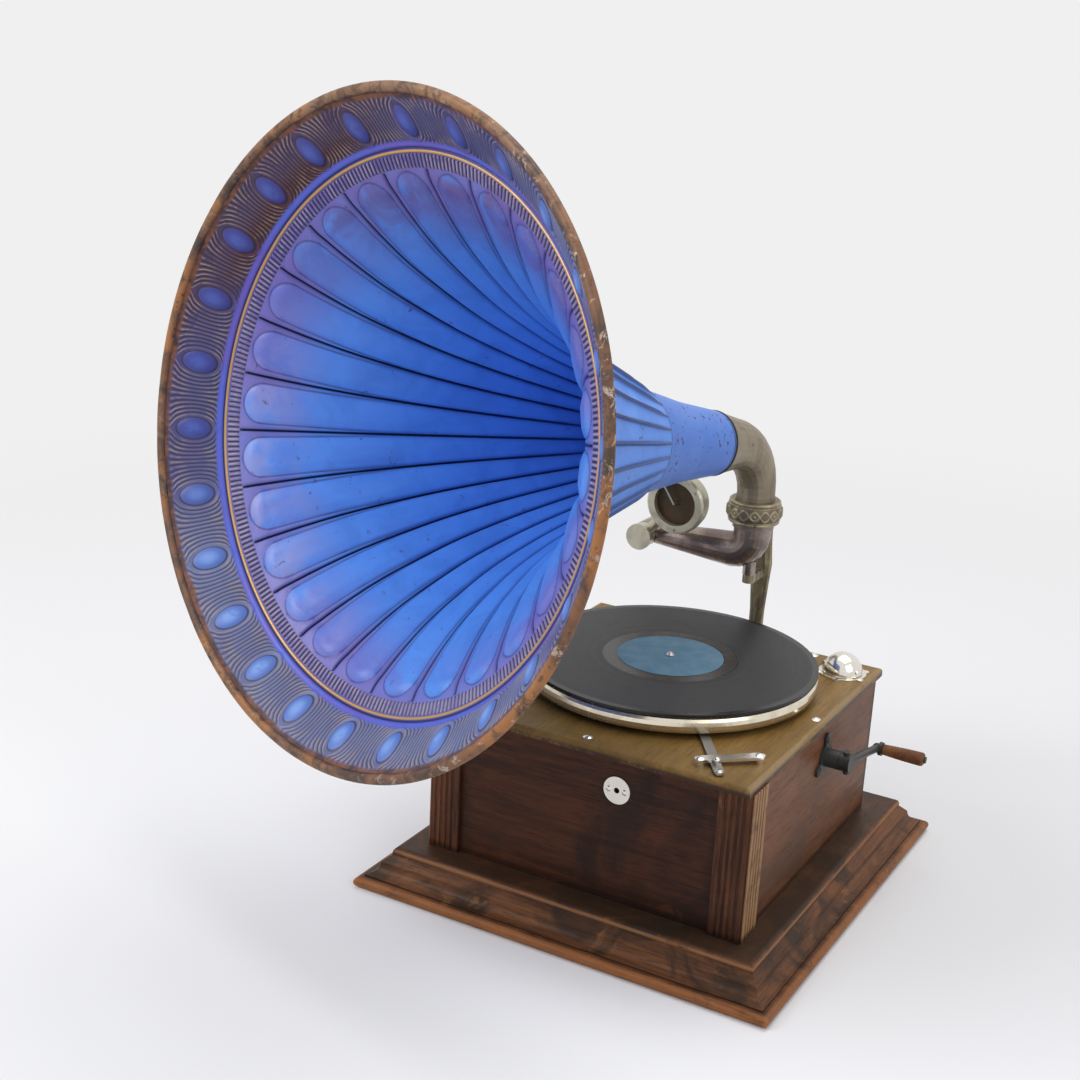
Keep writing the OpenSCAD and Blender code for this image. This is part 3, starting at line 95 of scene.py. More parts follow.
class Graph:
    """The node tree of one material, round one Principled shader."""

    def __init__(self, name: str) -> None:
        """Start an empty material.

        Args:
            name: The material's name.
        """
        self.material = bpy.data.materials.new(name)
        self.material.use_nodes = True
        self.tree = self.material.node_tree
        self.tree.nodes.clear()
        self.shader = self.node("ShaderNodeBsdfPrincipled")
        self.node("ShaderNodeOutputMaterial", {"Surface": self.shader.outputs[0]})

    def node(self, kind: str, inputs: Optional[dict] = None, **settings: object) -> bpy.types.Node:
        """Add a node.

        Args:
            kind: The node's type.
            inputs: Values or sockets by the name or number of the input they feed.
            settings: The node's own settings, set before its inputs.

        Returns:
            The new node.
        """
        made = self.tree.nodes.new(kind)
        for key, value in settings.items():
            setattr(made, key, value)
        for key, value in (inputs or {}).items():
            self.feed(made.inputs[key], value)
        return made

    def feed(self, socket: bpy.types.NodeSocket, value: object) -> None:
        """Set a socket to a constant, or link a value, colour or vector to it.

        Args:
            socket: The input socket.
            value: A Value, an output socket or a constant.
        """
        if isinstance(value, Value):
            value = value.socket
        if isinstance(value, bpy.types.NodeSocket):
            self.tree.links.new(value, socket)
        elif isinstance(value, tuple) and len(value) == 3 and socket.type == "RGBA":
            socket.default_value = (*value, 1.0)
        else:
            socket.default_value = value

    def math(self, operation: str, *numbers: Number) -> Value:
        """Result of one Math node on the numbers."""
        made = self.node("ShaderNodeMath", dict(enumerate(numbers)), operation=operation)
        return Value(self, made.outputs[0])

    def place(self, scale: Sequence[float] = (1, 1, 1), turn: float = 0.0) -> bpy.types.NodeSocket:
        """Object coordinates, turned about Z and then scaled.

        Args:
            scale: Factor along each axis.
            turn: Turn about Z in radians.

        Returns:
            The vector socket.
        """
        coords = self.node("ShaderNodeTexCoord").outputs["Object"]
        if turn:
            coords = self.node("ShaderNodeMapping", {"Vector": coords, "Rotation": (0, 0, turn)}).outputs[0]
        scaled = self.node("ShaderNodeVectorMath", {0: coords, 1: tuple(scale)}, operation="MULTIPLY")
        return scaled.outputs[0]

    def axes(self, vector: bpy.types.NodeSocket) -> tuple[Value, Value, Value]:
        """The three numbers of a vector."""
        split = self.node("ShaderNodeSeparateXYZ", {0: vector})
        return tuple(Value(self, out) for out in split.outputs)

    def vector(self, x: Number, y: Number, z: Number = 0.0) -> bpy.types.NodeSocket:
        """A vector made of three numbers."""
        return self.node("ShaderNodeCombineXYZ", {0: x, 1: y, 2: z}).outputs[0]

    def noise(self, vector: bpy.types.NodeSocket, scale: float = 1.0, detail: float = 3.0,
              rough: float = 0.5, warp: float = 0.0) -> Value:
        """Noise from 0 to 1.

        Args:
            vector: Where to read it.
            scale: Its frequency.
            detail: Number of octaves.
            rough: Weight of the finer octaves.
            warp: How far it is distorted.

        Returns:
            The noise value.
        """
        made = self.node("ShaderNodeTexNoise", {"Vector": vector, "Scale": scale, "Detail": detail,
                                                "Roughness": rough, "Distortion": warp})
        return Value(self, made.outputs[0])

    def reading(self, name: str) -> Value:
        """A number that a piece's mesh keeps under a name."""
        return Value(self, self.node("ShaderNodeAttribute", attribute_name=name).outputs["Fac"])

    def step(self, value: Number, low: float, high: float) -> Value:
        """Smooth step of a number.

        Args:
            value: The number.
            low: Where the step is 0.
            high: Where it is 1, below low for a falling step.

        Returns:
            The step, from 0 to 1.
        """
        start, end = (1.0, 0.0) if low > high else (0.0, 1.0)
        inputs = {"Value": value, "From Min": min(low, high), "From Max": max(low, high),
                  "To Min": start, "To Max": end}
        made = self.node("ShaderNodeMapRange", inputs, interpolation_type="SMOOTHSTEP")
        return Value(self, made.outputs[0])

    def mix(self, share: Number, first: object, second: object) -> bpy.types.NodeSocket:
        """Blend of two colours.

        Args:
            share: Share of the second colour, from 0 to 1.
            first: A colour or its socket.
            second: A colour or its socket.

        Returns:
            The colour socket.
        """
        made = self.node("ShaderNodeMix", data_type="RGBA")
        self.feed(made.inputs[0], share)
        self.feed(made.inputs[6], first)
        self.feed(made.inputs[7], second)
        return made.outputs[2]

    def bump(self, height: Value, depth: float, strength: float = 1.0,
             under: Optional[bpy.types.NodeSocket] = None) -> bpy.types.NodeSocket:
        """Normal of a surface with the given height.

        Args:
            height: Height from 0 to 1.
            depth: Depth in metres of a height of 1.
            strength: How much of it shows.
            under: Normal of the surface below, if any.

        Returns:
            The normal socket.
        """
        inputs = {"Height": height, "Distance": depth, "Strength": strength}
        if under is not None:
            inputs["Normal"] = under
        return self.node("ShaderNodeBump", inputs).outputs[0]

    def finish(self, **sockets: object) -> bpy.types.Material:
        """Feed the shader and hand over its material.

        Args:
            sockets: Values by the name of the shader's socket, with underscores for its spaces.

        Returns:
            The material.
        """
        for name, value in sockets.items():
            self.feed(self.shader.inputs[name.replace("_", " ")], value)
        return self.material


# Finishes

class Grain(Enum):
    """The axis that the grain of a board follows, with its scale along X, Y and Z."""

    ALONG_X = (1.0, 16.0, 16.0)
    ALONG_Y = (16.0, 1.0, 16.0)
    ALONG_Z = (16.0, 16.0, 1.0)


@dataclass(frozen=True)
class Mark:
    """A stripe of another tone across one axis: a worn edge, or painted shade in a corner, a groove or
    where parts meet. Metres.
    """

    axis: int
    at: float
    width: float
    colour: Colour
    share: float


@dataclass(frozen=True)
class Wood:
    """Stained and polished wood, dark in patches, worn through elsewhere and marked at its edges."""

    name: str
    grain: Grain
    light: Colour
    dark: Colour
    stain: Colour
    worn: Colour
    stained: float = 0.5
    wear: float = 0.3
    gloss: float = 0.34
    seed: float = 0.0
    spread: float = 9.0
    marks: tuple[Mark, ...] = ()
    shine: float = 0.16

    def build(self) -> bpy.types.Material:
        """Make the material.

        Returns:
            The material.
        """
        g = Graph(self.name)
        along = g.place(self.grain.value)
        shifted = g.node("ShaderNodeVectorMath", {0: along, 1: (self.seed, self.seed, self.seed)},
                         operation="ADD").outputs[0]
        figure = g.noise(shifted, 5.0, 4.0, 0.6, 0.6)
        streak = g.noise(shifted, 26.0, 5.0, 0.65)
        pores = g.step(g.noise(shifted, 75.0, 2.0, 0.6), 0.56, 0.70)
        blotch = g.noise(g.place(), self.spread, 4.0, 0.6, 0.8)
        rub = g.noise(g.place(), 16.0, 6.0, 0.7, 1.2)
        tone = g.step(figure * 0.55 + streak * 0.45, 0.34, 0.64)
        colour = g.mix(tone, self.dark, self.light)
        colour = g.mix(g.step(blotch, 0.47, 0.66) * self.stained, colour, self.stain)
        colour = g.mix(g.step(rub, 0.60, 0.74) * self.wear, colour, self.worn)
        colour = g.mix(pores * 0.45, colour, tuple(c * 0.35 for c in self.dark))
        place = g.axes(g.place())
        # Stripes along edges and corners: worn wood for some marks, painted shade for others.
        for mark in self.marks:
            near = g.step(abs(place[mark.axis] - mark.at), mark.width, mark.width * 0.35)
            uneven = g.step(rub * 0.6 + streak * 0.4, 0.32, 0.52)
            colour = g.mix(near * uneven * mark.share, colour, mark.colour)
        rough = self.gloss + streak * 0.16 + pores * 0.15 + g.step(rub, 0.60, 0.74) * 0.15
        height = streak * 0.5 - pores * 0.6 + figure * 0.2
        return g.finish(Base_Color=colour, Roughness=rough, Specular_IOR_Level=self.shine,
                        Normal=g.bump(height, 0.25 * MM, 0.55))


@dataclass(frozen=True)
class Metal:
    """Plated or bare metal with a patina in patches."""

    name: str
    clean: Colour
    tarnish: Colour
    tarnished: float = 0.5
    rough: float = 0.25
    metallic: float = 0.95
    patch: float = 24.0
    pits: float = 0.3

    def build(self) -> bpy.types.Material:
        """Make the material.

        Returns:
            The material.
        """
        g = Graph(self.name)
        here = g.place()
        cloud = g.noise(here, self.patch, 5.0, 0.62, 0.6)
        fine = g.noise(here, self.patch * 14.0, 4.0, 0.7)
        pit = g.step(g.noise(here, self.patch * 22.0, 2.0, 0.5), 0.66, 0.74)
        share = g.step(cloud, 0.38, 0.66) * self.tarnished
        colour = g.mix(share, self.clean, self.tarnish)
        colour = g.mix(pit * self.pits, colour, tuple(c * 0.25 for c in self.tarnish))
        rough = self.rough + share * 0.22 + (fine - 0.5) * 0.12 + pit * 0.2
        metallic = self.metallic - share * 0.25
        return g.finish(Base_Color=colour, Roughness=rough, Metallic=metallic,
                        Normal=g.bump(fine * 0.4 - pit * self.pits, 0.12 * MM, 0.5))


@dataclass(frozen=True)
class Plain:
    """Paint, rubber, paper, felt or leather with a fine mottle."""

    name: str
    base: Colour
    shade: Colour
    rough: float = 0.6
    scale: float = 60.0
    bump: float = 0.1
    sheen: float = 0.0
    shine: float = 0.25

    def build(self) -> bpy.types.Material:
        """Make the material.

        Returns:
            The material.
        """
        g = Graph(self.name)
        here = g.place()
        cloud = g.noise(here, self.scale, 4.0, 0.6)
        fine = g.noise(here, self.scale * 16.0, 3.0, 0.6)
        colour = g.mix(g.step(cloud * 0.7 + fine * 0.3, 0.35, 0.65), self.base, self.shade)
        return g.finish(Base_Color=colour, Roughness=self.rough + (fine - 0.5) * 0.15,
                        Sheen_Weight=self.sheen, Specular_IOR_Level=self.shine,
                        Normal=g.bump(fine * 0.6 + cloud * 0.4, self.bump * MM, 0.6))


@dataclass(frozen=True)
class Shellac:
    """Black record with fine grooves round its middle."""

    name: str
    middle: tuple[float, float]
    base: Colour = (0.012, 0.012, 0.013)
    groove_inner: float = 58.0
    groove_outer: float = 121.5
    groove_pitch: float = 0.9

    def build(self) -> bpy.types.Material:
        """Make the material.

        Returns:
            The material.
        """
        g = Graph(self.name)
        x, y, _ = g.axes(g.place())
        x, y = x - self.middle[0], y - self.middle[1]
        radius = g.math("SQRT", x * x + y * y) * 1000.0
        grooved = g.step(radius, self.groove_inner, self.groove_inner + 0.6)
        grooved = grooved * g.step(radius, self.groove_outer, self.groove_outer - 0.6)
        wave = g.math("SINE", radius * (2 * math.pi / self.groove_pitch))
        bands = g.noise(g.vector(radius * 0.16, 0.0), 1.0, 3.0, 0.7)
        dust = g.noise(g.place(), 55.0, 5.0, 0.7, 1.0)
        colour = g.mix(g.step(dust, 0.5, 0.75) * 0.3, self.base, (0.035, 0.033, 0.031))
        plain = g.step(radius, self.groove_inner + 1.5, self.groove_inner - 1.5)
        colour = g.mix(plain * 0.7, colour, (0.050, 0.045, 0.040))
        last = g.step(abs(radius - self.groove_inner - 3.0), 5.0, 2.0)
        colour = g.mix(last * 0.8, colour, (0.006, 0.006, 0.007))
        rough = 0.24 + grooved * (0.10 + bands * 0.16) + g.step(dust, 0.5, 0.8) * 0.1
        height = wave * grooved * 0.5 + bands * grooved * 0.5
        return g.finish(Base_Color=colour, Roughness=rough, Specular_IOR_Level=0.36,
                        Normal=g.bump(height, 0.09 * MM, 0.8))


@dataclass(frozen=True)
class HornPaint:
    """Blue enamel inside the horn, purple at the petal heads, with a patina on the border.

    Reads the sheet's own attributes: reach from the gilt line, distance to the nearest seam, distance to
    the tongue's edge, all in millimetres, and the crest of its fine ribs from 0 to 1.
    """

    name: str
    head_reach: float
    comb_reach: float
    rim_reach: float
    blue: Colour = (0.090, 0.285, 0.85)
    deep: Colour = (0.045, 0.145, 0.54)
    purple: Colour = (0.155, 0.135, 0.48)
    maroon: Colour = (0.075, 0.016, 0.018)
    tan: Colour = (0.40, 0.29, 0.19)
    rust: Colour = (0.20, 0.075, 0.028)
    gold: Colour = (0.58, 0.34, 0.075)
    ink: Colour = (0.008, 0.010, 0.045)

    def build(self) -> bpy.types.Material:
        """Make the material.

        Returns:
            The material.
        """
        g = Graph(self.name)
        reach, seam, edge, crest = (g.reading(name) for name in ("reach", "seam", "edge", "crest"))
        here = g.place()
        x, _, z = g.axes(here)
        slant = z - x * 0.9
        cloud = g.noise(here, 8.0, 4.0, 0.6, 0.7)
        patch = g.noise(here, 24.0, 5.0, 0.62, 0.9)
        fine = g.noise(here, 170.0, 4.0, 0.7)
        rubbed = g.noise(here, 60.0, 4.0, 0.7, 0.6)

        # Petals: azure in the bowl, purple round the heads
        colour = g.mix(g.step(patch, 0.35, 0.72) * 0.4, self.blue, self.deep)
        head = g.step(reach, self.head_reach - 75.0, self.head_reach - 2.0)
        colour = g.mix(head * g.step(cloud, 0.30, 0.58) * 0.8, colour, self.purple)
        # Painted shade: the top of the bowl, which faces down, is darkened toward deep blue; the same upper
        # mask also places a maroon flush on the upper heads.
        painted_top_shade = g.step(z, 0.46, 0.60)
        colour = g.mix(painted_top_shade * (0.25 + cloud * 0.5), colour, (0.045, 0.075, 0.28))
        flush = head * painted_top_shade * g.step(patch, 0.40, 0.56)
        colour = g.mix(flush * 0.6, colour, (0.12, 0.045, 0.17))
        # Painted sheen: a pale lilac highlight on the heads low on the left.
        painted_sheen = head * g.step(z, 0.50, 0.42) * g.step(x, -0.13, -0.22) * g.step(patch, 0.34, 0.60)
        colour = g.mix(painted_sheen * 0.55, colour, (0.40, 0.38, 0.68))
        ground = g.step(edge, -0.8, 0.8) * g.step(reach, self.head_reach - 60.0, self.head_reach - 15.0)
        colour = g.mix(ground * 0.65, colour, (0.16, 0.12, 0.42))
        speck = g.step(g.noise(here, 115.0, 3.0, 0.75, 0.5), 0.66, 0.71)
        colour = g.mix(speck * 0.6, colour, (0.05, 0.035, 0.04))
        # Pale tint on the heads: partly dust, which also roughens the paint, partly a painted sheen.
        dust = g.step(g.noise(here, 40.0, 6.0, 0.75, 1.5), 0.60, 0.75)
        colour = g.mix(dust * head * 0.3, colour, (0.34, 0.30, 0.42))
        stain = g.step(g.noise(here, 30.0, 6.0, 0.8, 2.0), 0.645, 0.72)
        colour = g.mix(stain * 0.45, colour, (0.12, 0.09, 0.10))

        # Tongue outline and seams
        outline = g.step(abs(edge), 1.25, 0.3)
        outline = outline * g.step(reach, self.head_reach - 150.0, self.head_reach - 70.0)
        colour = g.mix(outline * 0.55, colour, (0.035, 0.022, 0.14))
        inside = g.step(reach, self.comb_reach + 0.4, self.comb_reach - 0.8)
        grime = g.step(seam, 5.0, 0.8) * inside
        colour = g.mix(grime * 0.25, colour, (0.02, 0.025, 0.12))
        cut = g.step(seam, 1.25, 0.45) * inside
        sharp = g.step(reach, -330.0, -120.0) * 0.38 + 0.55
        colour = g.mix(cut * sharp, colour, self.ink)

        # Comb of short ribs inside the gilt line
        comb = g.step(reach, self.comb_reach - 0.2, self.comb_reach + 0.8) * g.step(reach, -1.6, -2.4)
        between = g.mix(g.step(slant, 0.80, 0.62), (0.105, 0.080, 0.26), (0.20, 0.155, 0.32))
        colour = g.mix(comb * 0.6, colour, between)
        colour = g.mix(comb * g.step(crest, 0.74, 0.34) * 0.94, colour, (0.016, 0.012, 0.05))
        bare = comb * g.step(crest, 0.8, 1.0) * g.step(rubbed, 0.42, 0.58)
        colour = g.mix(bare * 0.5, colour, (0.50, 0.42, 0.40))

        # Cove outside the line
        border = g.step(reach, 7.0, 9.5)
        cove = g.step(reach, 1.4, 2.6) * (1.0 - border)
        hollow = g.mix(g.step(cloud, 0.4, 0.62), (0.075, 0.12, 0.62), (0.13, 0.085, 0.48))
        colour = g.mix(cove * 0.8, colour, hollow)

        # Border: bowed ribs rubbed to tan on their crests, ovals between them
        low = g.step(slant, 0.70, 0.52)
        field = g.mix(low, (0.078, 0.078, 0.20), (0.165, 0.195, 0.35))
        field = g.mix(g.step(cloud, 0.42, 0.66) * 0.5, field, (0.075, 0.040, 0.15))
        colour = g.mix(border * 0.95, colour, field)
        upper = g.step(slant, 0.745, 0.80) * g.step(z + x * 0.9, 0.62, 0.46)
        inner = g.step(reach, self.rim_reach * 0.66, self.rim_reach * 0.30)
        reddened = border * upper * (0.55 + inner * 0.45) * g.step(patch, 0.20, 0.40)
        colour = g.mix(reddened * 0.95, colour, self.maroon)
        ribs = border * g.step(edge, -0.3, 0.3) * g.step(reach, self.rim_reach - 1.0, self.rim_reach - 5.0)
        colour = g.mix(ribs * g.step(crest, 0.42, 0.05) * 0.75, colour, (0.014, 0.014, 0.035))
        ridge = ribs * g.step(crest, 0.62, 0.95)
        sides = g.step(abs(reach - self.rim_reach * 0.53), 4.0, 13.0)
        colour = g.mix(ridge * g.step(rubbed, 0.36, 0.60) * (0.25 + sides * 0.6), colour, self.tan)
        lobe = border * g.step(edge, -0.2, -1.2)
        colour = g.mix(lobe * 0.85, colour, g.mix(low, (0.045, 0.060, 0.30), (0.095, 0.200, 0.60)))
        core = border * g.step(edge, -1.5, -7.5) * g.step(rubbed, 0.25, 0.5)
        colour = g.mix(core * 0.6, colour, g.mix(low, (0.085, 0.14, 0.50), (0.26, 0.45, 0.85)))
        ring = border * g.step(abs(edge), 0.8, 0.2)
        colour = g.mix(ring * 0.7, colour, (0.016, 0.014, 0.04))
        outer = g.step(reach + (patch - 0.5) * 7.0, self.rim_reach - 5.0, self.rim_reach - 2.0)
        rusty = g.mix(g.step(rubbed, 0.4, 0.6), (0.055, 0.026, 0.018), self.rust)
        colour = g.mix(outer * 0.9, colour, rusty)

        # Gilt line with a dark line outside it
        colour = g.mix(g.step(abs(reach - 2.3), 1.2, 0.4) * 0.85, colour, (0.010, 0.010, 0.05))
        line = g.step(abs(reach), 1.35, 0.95)
        colour = g.mix(line * (0.75 + fine * 0.25), colour, self.gold)

        rough = 0.30 + patch * 0.14 + border * 0.08 + outer * 0.18 + dust * 0.10
        return g.finish(Base_Color=colour, Roughness=rough, Metallic=line * 0.6, Specular_IOR_Level=0.34,
                        Normal=g.bump(fine * 0.5 + rubbed * 0.5 - cut, 0.16 * MM, 0.5))


@dataclass(frozen=True)
class OuterPaint:
    """Plainer blue paint on the horn's throat, chipped to the iron; its seamed copy for the back of the
    bell fills a slot that no face uses.
    """

    name: str
    seamed: bool
    ends: tuple[Vector, Vector]
    blue: Colour = (0.075, 0.190, 0.62)
    faded: Colour = (0.115, 0.240, 0.66)
    chip: Colour = (0.075, 0.050, 0.045)

    def build(self) -> bpy.types.Material:
        """Make the material.

        Returns:
            The material.
        """
        g = Graph(self.name)
        here = g.place()
        cloud = g.noise(here, 14.0, 5.0, 0.6, 0.8)
        fine = g.noise(here, 160.0, 4.0, 0.7)
        colour = g.mix(g.step(cloud, 0.3, 0.7), self.blue, self.faded)
        shaded = g.noise(here, 5.0, 3.0, 0.5)
        colour = g.mix(g.step(shaded, 0.45, 0.65) * 0.4, colour, (0.05, 0.12, 0.46))
        spread = g.step(cloud, 0.44, 0.60) if self.seamed else g.step(cloud, 0.30, 0.48)
        chips = g.step(g.noise(here, 190.0, 3.0, 0.6, 0.4), 0.63, 0.66) * spread
        flakes = g.step(g.noise(here, 40.0, 5.0, 0.7, 0.9), 0.675, 0.70)
        colour = g.mix(chips * 0.85, colour, self.chip)
        colour = g.mix(flakes * 0.8, colour, (0.20, 0.10, 0.065))
        if self.seamed:
            seam = g.reading("seam")
            near = g.step(seam, 2.2, 0.8)
            colour = g.mix(near * 0.4, colour, (0.040, 0.09, 0.36))
            colour = g.mix(g.step(seam, 0.85, 0.35) * 0.75, colour, (0.016, 0.030, 0.14))
        for place, half in zip(self.ends, (1.3 * MM, 1.6 * MM)):
            axis = (self.ends[0] - self.ends[1]).normalized()
            along = g.node("ShaderNodeVectorMath", {0: here, 1: tuple(axis)}, operation="DOT_PRODUCT")
            ring = g.step(abs(Value(g, along.outputs["Value"]) - place.dot(axis)), half, half * 0.4)
            colour = g.mix(ring * 0.85, colour, (0.015, 0.022, 0.06))
        rough = 0.38 + cloud * 0.14 + chips * 0.3
        return g.finish(Base_Color=colour, Roughness=rough, Specular_IOR_Level=0.34,
                        Normal=g.bump(fine * 0.3 - chips * 0.7, 0.2 * MM, 0.6))


@dataclass(frozen=True)
class RimPaint:
    """Rolled rim worn in patches from dark brown to orange and tan, with pale chips on its right."""

    name: str
    middle_x: float

    def build(self) -> bpy.types.Material:
        """Make the material.

        Returns:
            The material.
        """
        g = Graph(self.name)
        here = g.place()
        x, _, z = g.axes(here)
        broad = g.noise(here, 11.0, 3.0, 0.5, 0.6)
        patch = g.noise(here, 46.0, 5.0, 0.68, 0.8)
        fine = g.noise(here, 260.0, 4.0, 0.7)
        colour = g.mix(g.step(patch, 0.36, 0.60), (0.055, 0.030, 0.018), (0.19, 0.082, 0.036))
        orange = g.step(broad, 0.48, 0.60) * g.step(patch, 0.34, 0.56)
        colour = g.mix(orange * 0.85, colour, (0.34, 0.135, 0.035))
        top = g.step(z, 0.57, 0.64)
        colour = g.mix(top * g.step(patch, 0.44, 0.60) * 0.45, colour, (0.30, 0.19, 0.11))
        right = g.step(x, self.middle_x, self.middle_x + 0.14)
        chip = g.step(g.noise(here, 75.0, 5.0, 0.75, 1.0), 0.56, 0.63)
        colour = g.mix(right * chip * 0.75, colour, (0.55, 0.44, 0.36))
        colour = g.mix(chip * 0.25, colour, (0.36, 0.26, 0.20))
        pit = g.step(g.noise(here, 180.0, 2.0, 0.5), 0.62, 0.70)
        colour = g.mix(pit * 0.6, colour, (0.02, 0.014, 0.012))
        rough = 0.42 + fine * 0.18 - right * chip * 0.14
        return g.finish(Base_Color=colour, Roughness=rough, Metallic=right * chip * 0.5,
                        Normal=g.bump(patch * 0.6 + fine * 0.3 - pit * 0.4, 0.45 * MM, 0.7))


@dataclass(frozen=True)
class Weathered:
    """Cast metal with thin plating, streaked downwards where it has gone dark."""

    name: str
    light: Colour
    dark: Colour
    streaks: float = 0.7
    rough: float = 0.42
    metallic: float = 0.55
    across: float = 130.0
    relief: bool = False

    def build(self) -> bpy.types.Material:
        """Make the material.

        Returns:
            The material.
        """
        g = Graph(self.name)
        here = g.place()
        cloud = g.noise(here, 18.0, 4.0, 0.6, 0.6)
        run = g.noise(g.place((1.0, 1.0, 0.16)), self.across, 4.0, 0.65, 0.5)
        fine = g.noise(here, 300.0, 3.0, 0.7)
        pit = g.step(g.noise(here, 150.0, 2.0, 0.5), 0.68, 0.74)
        colour = g.mix(g.step(cloud, 0.36, 0.66) * 0.45, self.light, self.dark)
        colour = g.mix(g.step(run, 0.47, 0.58) * self.streaks, colour, self.dark)
        if self.relief:
            colour = g.mix(g.step(g.reading("crest"), 0.45, 0.05) * 0.7, colour, self.dark)
        colour = g.mix(pit * 0.6, colour, tuple(c * 0.3 for c in self.dark))
        rough = self.rough + run * 0.12 + (fine - 0.5) * 0.1
        metallic = self.metallic - g.step(run, 0.45, 0.6) * 0.2
        return g.finish(Base_Color=colour, Roughness=rough, Metallic=metallic,
                        Normal=g.bump(run * 0.6 + fine * 0.2 - pit * 0.4, 0.3 * MM, 0.6))


# Shape helpers

def deselect() -> None:
    """Leave nothing selected, in object mode."""
    if bpy.context.object and bpy.context.object.mode != "OBJECT":
        bpy.ops.object.mode_set(mode="OBJECT")
    bpy.ops.object.select_all(action="DESELECT")


def own(name: str) -> bpy.types.Object:
    """Name the object that an operator has just added.

    Args:
        name: The piece's name.

    Returns:
        The object, with a mesh of the same name.
    """
    piece = bpy.context.object
    piece.name = name
    piece.data.name = name
    return piece


def settle(piece: bpy.types.Object, matrix: Matrix = Matrix.Identity(4)) -> bpy.types.Object:
    """Put a piece's place into its mesh and leave its object at the origin.

    Args:
        piece: The piece.
        matrix: Where its own place goes.

    Returns:
        The piece.
    """
    bpy.context.view_layer.update()
    piece.data.transform(matrix @ piece.matrix_world)
    piece.matrix_world = Matrix.Identity(4)
    return piece


def select_only(piece: bpy.types.Object) -> None:
    """Select one piece alone and make it active, in object mode.

    Args:
        piece: The piece.
    """
    deselect()
    piece.select_set(True)
    bpy.context.view_layer.objects.active = piece


def shade(piece: bpy.types.Object, angle: float) -> None:
    """Shade a piece smooth, apart from edges sharper than the angle in degrees."""
    select_only(piece)
    bpy.ops.object.shade_smooth_by_angle(angle=math.radians(angle))


def apply_all(piece: bpy.types.Object) -> None:
    """Apply all of a piece's modifiers in order.

    Args:
        piece: The piece.
    """
    select_only(piece)
    for name in [m.name for m in piece.modifiers]:
        bpy.ops.object.modifier_apply(modifier=name)


def spun(name: str, profile: Iterable[tuple[float, float]], steps: int,
         closed: bool = False) -> bpy.types.Object:
    """Turn a profile round Z: a vertex is extruded along it and the chain is spun.

    Args:
        name: The piece's name.
        profile: Radius and height of each point, in metres.
        steps: Number of steps round.
        closed: Whether the profile is a closed loop.

    Returns:
        The piece, its object at the origin.
    """
    deselect()
    points = [Vector((r, 0, z)) for r, z in profile]
    bpy.ops.mesh.primitive_plane_add(size=1, location=(0, 0, 0))
    piece = own(name)
    bpy.ops.object.mode_set(mode="EDIT")
    bpy.ops.mesh.select_all(action="SELECT")
    bpy.ops.mesh.merge(type="CENTER")
    bpy.ops.transform.translate(value=points[0])
    for start, end in zip(points, points[1:]):
        bpy.ops.mesh.extrude_region_move(TRANSFORM_OT_translate={"value": end - start})
    bpy.ops.mesh.select_all(action="SELECT")
    if closed:
        bpy.ops.mesh.edge_face_add()
        bpy.ops.mesh.delete(type="ONLY_FACE")
        bpy.ops.mesh.select_all(action="SELECT")
    bpy.ops.mesh.spin(steps=steps, angle=2 * math.pi, center=(0, 0, 0), axis=(0, 0, 1))
    bpy.ops.mesh.select_all(action="SELECT")
    bpy.ops.mesh.remove_doubles(threshold=1e-6)
    bpy.ops.mesh.normals_make_consistent(inside=False)
    bpy.ops.object.mode_set(mode="OBJECT")
    return piece


def points_of(piece: bpy.types.Object) -> np.ndarray:
    """Read where the points of a mesh are.

    Args:
        piece: The piece with the mesh.

    Returns:
        The points, one row each, in metres.
    """
    flat = np.zeros(len(piece.data.vertices) * 3)
    piece.data.vertices.foreach_get("co", flat)
    return flat.reshape(-1, 3)


def move_points(piece: bpy.types.Object, points: np.ndarray) -> None:
    """Give a mesh new places for its points."""
    piece.data.vertices.foreach_set("co", points.astype(np.float32).ravel())
    piece.data.update()


def keep_reading(piece: bpy.types.Object, name: str, values: np.ndarray) -> None:
    """Keep a number for each point of a mesh, which its finish reads by that name."""
    kept = piece.data.attributes.new(name, "FLOAT", "POINT")
    kept.data.foreach_set("value", values.astype(np.float32))


def ramp(value: np.ndarray, low: float, high: float) -> np.ndarray:
    """Smooth step of an array, from 0 at low to 1 at high, falling where low is over high."""
    share = np.clip((value - low) / (high - low), 0.0, 1.0)
    return share * share * (3 - 2 * share)


# Sub-assemblies

class Zone(Enum):
    """The three bands of the bell. Each is a sheet of its own, with columns where its relief needs them."""

    PETALS = "horn_petals"
    COMB = "horn_comb"
    BORDER = "horn_border"


